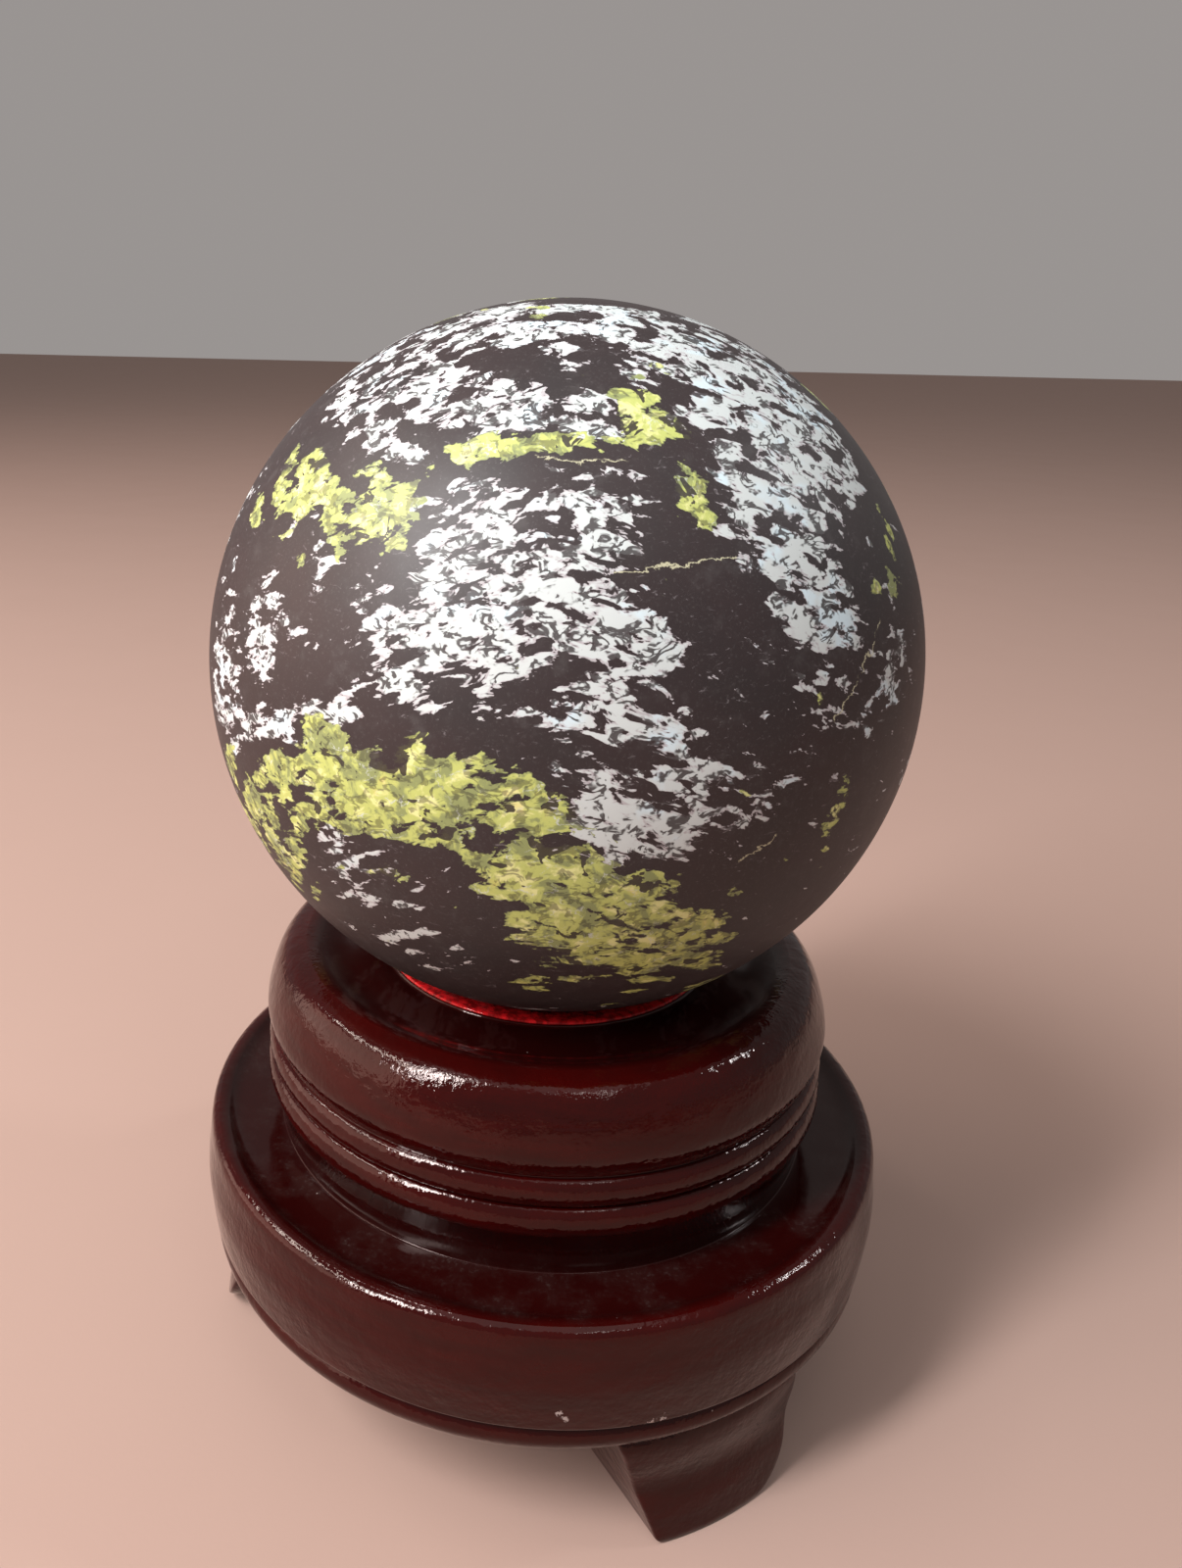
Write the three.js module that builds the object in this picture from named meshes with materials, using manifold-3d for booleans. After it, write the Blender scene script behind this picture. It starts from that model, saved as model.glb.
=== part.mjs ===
// A polished stone sphere resting on a turned, lacquered wooden stand with three sawn feet.
// Millimetres, +Z up. The origin is on the floor, under the common axis of the sphere and the stand.
import * as THREE from "three";
import { mergeVertices } from "three/addons/utils/BufferGeometryUtils.js";
import Module from "manifold-3d";

const wasm = await Module();
wasm.setup();

// Driving dimensions
const SPHERE_RADIUS = 40;
const SEAT_RADIUS = 18; // the circle on which the sphere touches the stand
const SEAT_HEIGHT = 52.79; // the height of that circle above the floor
const SEAT_GAP = 0.3; // clearance between the sphere and the stand that it rests on

const FOOT_HEIGHT = 14.8; // floor to the underside of the base
const BASE_RADIUS = 42.7; // the widest point of the base
const BASE_WIDEST_Z = 24.7;
const BASE_CREST_RADIUS = 41.2;
const BASE_CREST_Z = 31.3;
const STEP_RADIUS = 42; // the narrow ring under the base
const STEP_TOP_Z = 18.6;
const RECESS_Z = 30.7; // the floor of the recess on top of the base
const NECK_RADIUS = 33.2;

const BEAD_RADIUS = 34.8; // the two beads under the cup
const BEAD_BOTTOM_Z = 35.7;
const BEAD_SPLIT_Z = 39.4;
const BEAD_TOP_Z = 42.8;
const CUP_RADIUS = 34.7; // the widest point of the cup
const CUP_WIDEST_Z = 45.9;
const RIM_RADIUS = 29.8; // the highest circle of the cup's rounded rim
const RIM_Z = 53.1;
const DISH_Z = 51.8; // the shallow dish between the rim and the seat lip
const LIP_RADIUS = 20; // the outside of the raised lip around the seat

const FOOT_COUNT = 3;
const FOOT_TURN = 33.2; // degrees from straight ahead to the first foot
const FOOT_LEFT_TOP = 13.5; // from a foot's middle to its sides, at the top and at the sole
const FOOT_LEFT_SOLE = 8.3;
const FOOT_LEFT_CORNER = 0.7; // the left lower corner is nearly sharp
const FOOT_RIGHT_TOP = 12.1;
const FOOT_RIGHT_KNEE = 11.3; // the right side turns in from here, in one long curve to the sole
const FOOT_RIGHT_KNEE_Z = 8.5;
const FOOT_RIGHT_SOLE = 2.6;
const FOOT_INNER_RADIUS = 24;
const FOOT_SOLE_RADIUS = 41.2;
const FOOT_ROOT = 1; // how far the feet run up into the base, of which they are part

const LATHE_SIDES = 56;
const SPHERE_SIDES = 48;

const stoneMaterial = new THREE.MeshStandardMaterial({
  color: 0x5a4a4c,
  roughness: 0.28,
  metalness: 0,
});
const lacquerMaterial = new THREE.MeshStandardMaterial({
  color: 0x3a0908,
  roughness: 0.12,
  metalness: 0,
});

// Points on an arc of an ellipse with half-axes rx and rz, from one angle in degrees to another.
function arc(centreR, centreZ, rx, rz, from, to, steps) {
  const points = [];
  for (let i = 0; i <= steps; i++) {
    const angle = THREE.MathUtils.degToRad(from + ((to - from) * i) / steps);
    points.push(new THREE.Vector2(centreR + rx * Math.cos(angle), centreZ + rz * Math.sin(angle)));
  }
  return points;
}

// Points on a smooth curve through the given [radius, height] pairs.
function spline(pairs, steps) {
  return new THREE.SplineCurve(pairs.map(([r, z]) => new THREE.Vector2(r, z))).getPoints(steps);
}

// A half-round bead that stands out from the radius at its two ends to its full radius.
function bead(bottomZ, topZ, rootRadius, fullRadius, steps) {
  const middle = (bottomZ + topZ) / 2;
  return arc(rootRadius, middle, fullRadius - rootRadius, (topZ - bottomZ) / 2, -90, 90, steps);
}

// A solid of revolution about Z; its outline runs up the outside, from the axis back to the axis.
function turned(outline) {
  const geometry = new THREE.LatheGeometry(outline, LATHE_SIDES);
  geometry.rotateX(Math.PI / 2);
  return geometry;
}

// A closed geometry as a manifold solid, for joining and cutting.
function solid(geometry) {
  const bare = geometry.clone();
  bare.deleteAttribute("normal");
  bare.deleteAttribute("uv");
  const merged = mergeVertices(bare, 1e-4);
  const mesh = new wasm.Mesh({
    numProp: 3,
    vertProperties: merged.attributes.position.array,
    triVerts: new Uint32Array(merged.index.array),
  });
  return new wasm.Manifold(mesh);
}

// A manifold solid as a geometry with flat faces.
function geometryOf(manifold) {
  const mesh = manifold.getMesh();
  const geometry = new THREE.BufferGeometry();
  geometry.setAttribute("position", new THREE.BufferAttribute(mesh.vertProperties, 3));
  geometry.setIndex(new THREE.BufferAttribute(mesh.triVerts, 1));
  geometry.computeVertexNormals();
  return geometry;
}

// The turned body, from its underside up to the hollow that the sphere sits in.
function bodyOutline() {
  const stepRing = arc(
    STEP_RADIUS - 3, (FOOT_HEIGHT + STEP_TOP_Z) / 2 + 0.4, 3, (STEP_TOP_Z - FOOT_HEIGHT) / 2 + 0.4, -62, 74, 5);
  const baseSide = spline([
    [STEP_RADIUS + 0.3, STEP_TOP_Z + 0.6],
    [BASE_RADIUS - 0.15, (STEP_TOP_Z + BASE_WIDEST_Z) / 2],
    [BASE_RADIUS, BASE_WIDEST_Z],
    [BASE_RADIUS - 0.35, BASE_WIDEST_Z + 3.4],
    [BASE_CREST_RADIUS + 0.8, BASE_CREST_Z - 0.75],
    [BASE_CREST_RADIUS, BASE_CREST_Z],
  ], 8);
  const recess = spline([
    [BASE_CREST_RADIUS - 1.2, BASE_CREST_Z - 0.1],
    [BASE_CREST_RADIUS - 3, RECESS_Z + 0.1],
    [NECK_RADIUS + 2.6, RECESS_Z - 0.3],
    [NECK_RADIUS + 0.5, RECESS_Z - 0.3],
    [NECK_RADIUS, RECESS_Z + 0.5],
  ], 8);
  const lowerBead = bead(BEAD_BOTTOM_Z, BEAD_SPLIT_Z, BEAD_RADIUS - 1.1, BEAD_RADIUS, 6);
  const upperBead = bead(BEAD_SPLIT_Z, BEAD_TOP_Z, BEAD_RADIUS - 1.3, BEAD_RADIUS - 0.2, 5);
  const cupSide = spline([
    [CUP_RADIUS - 0.7, BEAD_TOP_Z + 0.5],
    [CUP_RADIUS, CUP_WIDEST_Z],
    [CUP_RADIUS - 1.1, RIM_Z - 3],
    [RIM_RADIUS + 2.2, RIM_Z - 0.7],
    [RIM_RADIUS, RIM_Z],
  ], 9);
  const dish = spline([
    [RIM_RADIUS - 1.6, RIM_Z - 0.35],
    [(RIM_RADIUS + LIP_RADIUS) / 2, DISH_Z],
    [LIP_RADIUS + 0.5, DISH_Z + 0.1],
  ], 4);
  const lipTop = SEAT_HEIGHT - SEAT_GAP;
  const lip = [
    new THREE.Vector2(LIP_RADIUS, DISH_Z + 0.5),
    new THREE.Vector2(LIP_RADIUS, lipTop - 0.3),
    new THREE.Vector2(LIP_RADIUS - 0.3, lipTop),
  ];
  return [
    new THREE.Vector2(0, FOOT_HEIGHT),
    ...stepRing,
    ...baseSide,
    ...recess,
    ...lowerBead,
    ...upperBead.slice(1),
    ...cupSide,
    ...dish,
    ...lip,
    ...seatHollow(),
  ];
}

// The hollow under the sphere, concentric with it and clear of it by the seat's gap.
function seatHollow() {
  const centreZ = SEAT_HEIGHT + Math.sqrt(SPHERE_RADIUS ** 2 - SEAT_RADIUS ** 2);
  const radius = SPHERE_RADIUS + SEAT_GAP;
  const edge = THREE.MathUtils.radToDeg(Math.acos(SEAT_RADIUS / radius));
  const points = arc(0, centreZ, radius, radius, -edge, -90, 5);
  points[points.length - 1].x = 0;
  return points;
}

// The ring that the feet are sawn from: an ogee outside, a plain bore inside, a flat sole.
function footRingOutline() {
  const ogee = spline([
    [FOOT_SOLE_RADIUS, 0.8],
    [FOOT_SOLE_RADIUS - 0.5, FOOT_HEIGHT * 0.27],
    [FOOT_SOLE_RADIUS - 1.3, FOOT_HEIGHT * 0.5],
    [FOOT_SOLE_RADIUS - 0.9, FOOT_HEIGHT * 0.76],
    [FOOT_SOLE_RADIUS - 1, FOOT_HEIGHT * 0.9],
    [FOOT_SOLE_RADIUS - 1.8, FOOT_HEIGHT],
  ], 9);
  return [
    new THREE.Vector2(FOOT_INNER_RADIUS, 0),
    new THREE.Vector2(FOOT_SOLE_RADIUS - 0.6, 0),
    ...ogee,
    new THREE.Vector2(FOOT_SOLE_RADIUS - 2.2, FOOT_HEIGHT + FOOT_ROOT),
    new THREE.Vector2(FOOT_INNER_RADIUS, FOOT_HEIGHT + FOOT_ROOT),
    new THREE.Vector2(FOOT_INNER_RADIUS, 0),
  ];
}

// One foot's outline seen from the front, narrower at the sole, run from inside the bore outwards.
function footBlock(turn) {
  const top = FOOT_HEIGHT + FOOT_ROOT + 1;
  const outline = new THREE.Shape();
  outline.moveTo(-FOOT_LEFT_TOP, top);
  outline.lineTo(-FOOT_LEFT_SOLE, FOOT_LEFT_CORNER);
  outline.lineTo(-FOOT_LEFT_SOLE + FOOT_LEFT_CORNER, 0);
  outline.lineTo(FOOT_RIGHT_SOLE, 0);
  outline.quadraticCurveTo(FOOT_RIGHT_KNEE - 1, 0, FOOT_RIGHT_KNEE, FOOT_RIGHT_KNEE_Z);
  outline.lineTo(FOOT_RIGHT_TOP, top);
  outline.closePath();
  const block = new THREE.ExtrudeGeometry(outline, {
    depth: BASE_RADIUS,
    bevelEnabled: false,
    curveSegments: 7,
  });
  block.rotateX(Math.PI / 2);
  block.rotateZ(THREE.MathUtils.degToRad(turn));
  return block;
}

// The whole stand in one piece: the turned body and the feet sawn from its foot ring.
function standGeometry() {
  const ring = solid(turned(footRingOutline()));
  let stand = solid(turned(bodyOutline()));
  for (let i = 0; i < FOOT_COUNT; i++) {
    const block = solid(footBlock(FOOT_TURN + (i * 360) / FOOT_COUNT));
    stand = stand.add(ring.intersect(block));
  }
  return geometryOf(stand);
}

function sphereGeometry() {
  const geometry = new THREE.SphereGeometry(SPHERE_RADIUS, SPHERE_SIDES, SPHERE_SIDES / 2);
  geometry.rotateX(Math.PI / 2);
  return geometry;
}

const ornament = new THREE.Group();

const stand = new THREE.Mesh(standGeometry(), lacquerMaterial);
stand.name = "turned_stand";
ornament.add(stand);

const sphere = new THREE.Mesh(sphereGeometry(), stoneMaterial);
sphere.name = "stone_sphere";
sphere.position.z = SEAT_HEIGHT + Math.sqrt(SPHERE_RADIUS ** 2 - SEAT_RADIUS ** 2);
ornament.add(sphere);

export default ornament;
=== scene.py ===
"""A polished, mottled stone ball resting on a turned and lacquered wooden stand with three feet."""

import logging
import math
from dataclasses import dataclass, field
from enum import Enum
from typing import Sequence

import bpy
import numpy as np
from mathutils import Matrix, Vector


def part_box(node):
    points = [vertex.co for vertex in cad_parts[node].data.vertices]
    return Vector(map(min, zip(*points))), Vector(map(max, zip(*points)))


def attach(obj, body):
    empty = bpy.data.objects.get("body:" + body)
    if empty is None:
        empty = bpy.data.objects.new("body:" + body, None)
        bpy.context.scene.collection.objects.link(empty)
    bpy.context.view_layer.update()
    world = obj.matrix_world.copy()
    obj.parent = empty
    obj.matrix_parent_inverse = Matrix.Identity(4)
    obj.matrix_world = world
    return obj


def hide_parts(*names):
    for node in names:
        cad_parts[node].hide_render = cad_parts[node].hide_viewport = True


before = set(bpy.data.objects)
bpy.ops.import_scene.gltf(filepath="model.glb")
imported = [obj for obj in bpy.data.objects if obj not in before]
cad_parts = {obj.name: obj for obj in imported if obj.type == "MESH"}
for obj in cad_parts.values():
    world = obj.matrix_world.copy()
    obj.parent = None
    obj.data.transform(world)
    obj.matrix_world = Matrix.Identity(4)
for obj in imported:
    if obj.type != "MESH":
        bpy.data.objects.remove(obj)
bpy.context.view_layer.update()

LOG = logging.getLogger("ornament")
MM = 0.001

Colour = tuple[float, float, float]


# ---------------------------------------------------------------------------------------------
# Shader maths
# ---------------------------------------------------------------------------------------------

# A Mix node's colour sockets, by number.
MIX_LOW, MIX_HIGH, MIX_RESULT = 6, 7, 2


class Socket:
    """A shader socket that turns Python operators into Math nodes."""

    def __init__(self, shader: "Shader", output: bpy.types.NodeSocket) -> None:
        """Wraps one output socket.

        Args:
            shader: the material that the node belongs to.
            output: the node's output socket.
        """
        self.shader = shader
        self.output = output

    def __add__(self, other: "Socket | float") -> "Socket":
        """This value plus another."""
        return self.shader.math("ADD", self, other)

    def __sub__(self, other: "Socket | float") -> "Socket":
        """This value less another."""
        return self.shader.math("SUBTRACT", self, other)

    def __mul__(self, other: "Socket | float") -> "Socket":
        """This value times another."""
        return self.shader.math("MULTIPLY", self, other)

    def __pow__(self, other: "Socket | float") -> "Socket":
        """This value to a power."""
        return self.shader.math("POWER", self, other)

    def __radd__(self, other: float) -> "Socket":
        """A number plus this value."""
        return self.shader.math("ADD", other, self)

    def __rmul__(self, other: float) -> "Socket":
        """A number times this value."""
        return self.shader.math("MULTIPLY", other, self)

    def __rsub__(self, other: float) -> "Socket":
        """A number less this value."""
        return self.shader.math("SUBTRACT", other, self)

    def __abs__(self) -> "Socket":
        """This value without its sign."""
        return self.shader.math("ABSOLUTE", self)

    def either(self, other: "Socket | float") -> "Socket":
        """The larger of this value and another."""
        return self.shader.math("MAXIMUM", self, other)

    def clip(self) -> "Socket":
        """This value held between 0 and 1."""
        return self.shader.node("ShaderNodeClamp", {}, {"Value": self}, "Result")

    def step(self, low: float, high: float) -> "Socket":
        """A smooth rise from 0 at low to 1 at high."""
        return self.shader.node(
            "ShaderNodeMapRange",
            {"interpolation_type": "SMOOTHSTEP"},
            {"Value": self, "From Min": low, "From Max": high},
            "Result",
        )


class Shader:
    """A material under construction, with one method that adds any node."""

    def __init__(self, name: str) -> None:
        """Starts an empty node material.

        Args:
            name: the material's name.
        """
        self.material = bpy.data.materials.new(name)
        self.material.use_nodes = True
        self.tree = self.material.node_tree
        self.tree.nodes.clear()

    def node(
        self, kind: str, settings: dict[str, object], inputs: dict[str | int, object], output: str | int = 0
    ) -> Socket:
        """Adds a node.

        Args:
            kind: the node's Blender type.
            settings: the node's own properties, set before its sockets.
            inputs: a value or a Socket for each input, by name or number.
            output: the output that is wanted, by name or number.

        Returns:
            The wanted output.
        """
        made = self.tree.nodes.new(kind)
        for key, value in settings.items():
            setattr(made, key, value)
        for key, value in inputs.items():
            if isinstance(value, Socket):
                self.tree.links.new(value.output, made.inputs[key])
            else:
                made.inputs[key].default_value = value
        return Socket(self, made.outputs[output])

    def math(self, operation: str, *values: Socket | float) -> Socket:
        """A Math node on one or two values."""
        return self.node("ShaderNodeMath", {"operation": operation}, dict(enumerate(values)))

    def attribute(self, name: str) -> Socket:
        """A number stored on the mesh's points."""
        return self.node("ShaderNodeAttribute", {"attribute_name": name}, {}, "Fac")

    def place(
        self, scale: Sequence[float] = (1.0, 1.0, 1.0), offset: Sequence[float] = (0.0, 0.0, 0.0)
    ) -> Socket:
        """Object coordinates in millimetres.

        Args:
            scale: how much each axis is stretched.
            offset: a shift in the scaled space.

        Returns:
            The coordinates as a vector socket.
        """
        raw = self.node("ShaderNodeTexCoord", {}, {}, "Object")
        inputs = {"Vector": raw, "Scale": [s / MM for s in scale], "Location": list(offset)}
        return self.node("ShaderNodeMapping", {}, inputs)

    def arched(self, scale: Sequence[float], offset: Sequence[float], fall: float, blunt: float) -> Socket:
        """Object coordinates in millimetres that a pattern follows in arches, high in the middle.

        The height z becomes z + fall * sqrt(x^2 + blunt^2), so a level streak falls away to both sides.

        Args:
            scale: how much each axis is stretched.
            offset: a shift in the scaled space.
            fall: how steeply the arches fall.
            blunt: the half-breadth in millimetres of their rounded tops.

        Returns:
            The coordinates as a vector socket.
        """
        raw = self.place()
        x, y, z = (self.node("ShaderNodeSeparateXYZ", {}, {"Vector": raw}, axis) for axis in range(3))
        z = z + (x * x + blunt**2) ** 0.5 * fall
        parts = [part * grow + shift for part, grow, shift in zip((x, y, z), scale, offset)]
        return self.node("ShaderNodeCombineXYZ", {}, dict(enumerate(parts)))

    def noise(
        self, where: Socket, size: float, detail: float, rough: float = 0.55, warp: float = 0.0
    ) -> Socket:
        """Fractal noise about 0.5.

        Args:
            where: the coordinates, in millimetres.
            size: the size of the largest blots, in millimetres.
            detail: how many finer layers it has.
            rough: the strength of the finer layers.
            warp: how far the noise bends itself.

        Returns:
            The noise value.
        """
        inputs = {
            "Vector": where,
            "Scale": 1.0 / size,
            "Detail": detail,
            "Roughness": rough,
            "Distortion": warp,
        }
        return self.node("ShaderNodeTexNoise", {"noise_dimensions": "3D"}, inputs, "Fac")

    def cells(self, where: Socket, size: float) -> Socket:
        """How far each point is from the heart of its cell, for cells of a size in millimetres."""
        inputs = {"Vector": where, "Scale": 1.0 / size}
        return self.node("ShaderNodeTexVoronoi", {"feature": "F1"}, inputs, "Distance")

    def mix(self, amount: Socket | float, low: Socket | Colour, high: Socket | Colour) -> Socket:
        """A colour that runs from one to another.

        Args:
            amount: 0 for the low colour to 1 for the high one.
            low: a colour or a socket.
            high: a colour or a socket.

        Returns:
            The mixed colour.
        """
        ends = {
            socket: end if isinstance(end, Socket) else (*end, 1.0)
            for socket, end in ((MIX_LOW, low), (MIX_HIGH, high))
        }
        return self.node("ShaderNodeMix", {"data_type": "RGBA"}, {0: amount, **ends}, MIX_RESULT)

    def bump(self, height: Socket, strength: float, distance: float, under: Socket | None = None) -> Socket:
        """A bumped normal.

        Args:
            height: the height over the surface, from 0 to 1.
            strength: how much of the bump shows.
            distance: the height in metres that 1 stands for.
            under: a bumped normal that this one is added to.

        Returns:
            The normal.
        """
        inputs: dict[str | int, object] = {"Height": height, "Strength": strength, "Distance": distance}
        if under is not None:
            inputs["Normal"] = under
        return self.node("ShaderNodeBump", {}, inputs, "Normal")

    def finish(
        self, colour: Socket, roughness: Socket, normal: Socket, fixed: dict[str, object]
    ) -> bpy.types.Material:
        """Joins the pattern to a surface shader.

        Args:
            colour: the base colour.
            roughness: the roughness.
            normal: the bumped normal.
            fixed: sockets that are the same all over, by name.

        Returns:
            The finished material.
        """
        inputs = {"Base Color": colour, "Roughness": roughness, "Normal": normal, **fixed}
        surface = self.node("ShaderNodeBsdfPrincipled", {}, inputs)
        out = self.tree.nodes.new("ShaderNodeOutputMaterial")
        self.tree.links.new(surface.output, out.inputs["Surface"])
        return self.material


# ---------------------------------------------------------------------------------------------
# Meshes
# ---------------------------------------------------------------------------------------------


def piece_from(name: str, points: np.ndarray, quads: np.ndarray, triangles: np.ndarray) -> bpy.types.Object:
    """Makes a smooth-shaded object from arrays.

    Args:
        name: the piece's name.
        points: an array of N points, in metres.
        quads: an array of four-cornered faces.
        triangles: an array of three-cornered faces.

    Returns:
        The new object, linked to the scene.
    """
    mesh = bpy.data.meshes.new(name)
    corners = np.concatenate([quads.ravel(), triangles.ravel()]).astype(np.int32)
    totals = np.concatenate([np.full(len(quads), 4), np.full(len(triangles), 3)]).astype(np.int32)
    starts = np.concatenate([[0], np.cumsum(totals)[:-1]]).astype(np.int32)
    mesh.vertices.add(len(points))
    mesh.vertices.foreach_set("co", points.astype(np.float32).ravel())
    mesh.loops.add(len(corners))
    mesh.loops.foreach_set("vertex_index", corners)
    mesh.polygons.add(len(totals))
    mesh.polygons.foreach_set("loop_start", starts)
    mesh.polygons.foreach_set("loop_total", totals)
    mesh.update(calc_edges=True)
    mesh.validate()
    mesh.shade_smooth()
    piece = bpy.data.objects.new(name, mesh)
    bpy.context.scene.collection.objects.link(piece)
    return piece


def store(piece: bpy.types.Object, name: str, values: np.ndarray) -> None:
    """Keeps one number for each point of a piece's mesh, for its material to read."""
    layer = piece.data.attributes.new(name, "FLOAT", "POINT")
    layer.data.foreach_set("value", values.astype(np.float32).ravel())


def ring_faces(rings: int, sides: int) -> np.ndarray:
    """The quads between closed rings of points.

    Point (i, j) is number i * sides + j, and each quad joins ring i to ring i + 1, with its face outwards
    where the rings run anticlockwise and upwards.

    Args:
        rings: how many rings there are.
        sides: how many points a ring has.

    Returns:
        An array of four-cornered faces.
    """
    i, j = np.meshgrid(np.arange(rings - 1), np.arange(sides), indexing="ij")
    after = (j + 1) % sides
    low, high = i * sides, (i + 1) * sides
    return np.stack([low + j, low + after, high + after, high + j], axis=-1).reshape(-1, 4)


def fan_faces(centre: int, ring_start: int, sides: int, upwards: bool) -> np.ndarray:
    """The triangles from one point to a ring of points.

    Args:
        centre: the number of the point in the middle.
        ring_start: the number of the ring's first point.
        sides: how many points the ring has.
        upwards: whether the triangles face up or down, for a ring that runs anticlockwise.

    Returns:
        An array of three-cornered faces.
    """
    j = np.arange(sides)
    after = (j + 1) % sides
    a, b = ring_start + j, ring_start + after
    middle = np.full(sides, centre)
    return np.stack([a, b, middle] if upwards else [b, a, middle], axis=-1)


def capped(
    rings: np.ndarray, below: Sequence[float], above: Sequence[float]
) -> tuple[np.ndarray, np.ndarray, np.ndarray]:
    """Closes a stack of rings with a fan of triangles at each end.

    Args:
        rings: the points as an array of rings by sides by 3, from the lowest ring up.
        below: the point that closes the lowest ring.
        above: the point that closes the highest ring.

    Returns:
        The points, of which the last two are the closing ones, the quads and the triangles.
    """
    count, sides = rings.shape[:2]
    points = np.concatenate([rings.reshape(-1, 3), [below], [above]])
    under = fan_faces(len(points) - 2, 0, sides, False)
    over = fan_faces(len(points) - 1, (count - 1) * sides, sides, True)
    return points, ring_faces(count, sides), np.concatenate([under, over])


def through(pairs: Sequence[Sequence[float]], steps: int) -> np.ndarray:
    """Points on a smooth curve through the given [radius, height] pairs.

    The curve is a Catmull-Rom spline: between two pairs it is the cubic whose slope at each end is half the
    way from the pair before to the pair after.

    Args:
        pairs: the points that the curve goes through.
        steps: how many equal steps of its parameter it is cut into.

    Returns:
        An array of steps + 1 points.
    """
    knots = np.asarray(pairs, dtype=float)
    t = np.linspace(0.0, len(knots) - 1.0, steps + 1)
    at = np.minimum(t.astype(int), len(knots) - 2)
    w = (t - at)[:, None]
    p0 = knots[np.maximum(at - 1, 0)]
    p1, p2 = knots[at], knots[at + 1]
    p3 = knots[np.minimum(at + 2, len(knots) - 1)]
    v0, v1 = (p2 - p0) / 2, (p3 - p1) / 2
    cubic = (2 * p1 - 2 * p2 + v0 + v1) * w**3 + (-3 * p1 + 3 * p2 - 2 * v0 - v1) * w**2
    return cubic + v0 * w + p1


def arc(centre: Sequence[float], half: Sequence[float], start: float, end: float, steps: int) -> np.ndarray:
    """Points on an ellipse's arc, given its centre, its half-axes and two angles in degrees."""
    turn = np.radians(np.linspace(start, end, steps + 1))
    return np.stack([centre[0] + half[0] * np.cos(turn), centre[1] + half[1] * np.sin(turn)], axis=-1)


def directions(azimuth: float | np.ndarray, elevation: float | np.ndarray) -> np.ndarray:
    """Unit vectors: azimuth 0 is the front, -Y, and grows to the right; elevation is above the level."""
    a, e = np.radians(azimuth), np.radians(elevation)
    return np.stack([np.sin(a) * np.cos(e), -np.cos(a) * np.cos(e), np.sin(e)], axis=-1)


# ---------------------------------------------------------------------------------------------
# The stone ball
# ---------------------------------------------------------------------------------------------


class Mineral(Enum):
    """The minerals that stand out from the dark ground of the stone."""

    PALE = "pale"
    GREEN = "green"


class Vein(Enum):
    """What a point of the ball keeps about the veins."""

    OFFSET = "vein_off"
    RUN = "vein_run"


# The turn between neighbours that spreads points evenly, and how many lengths a patch is felt over.
GOLDEN_ANGLE = 137.508
PATCH_REACH = 3.0

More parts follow.
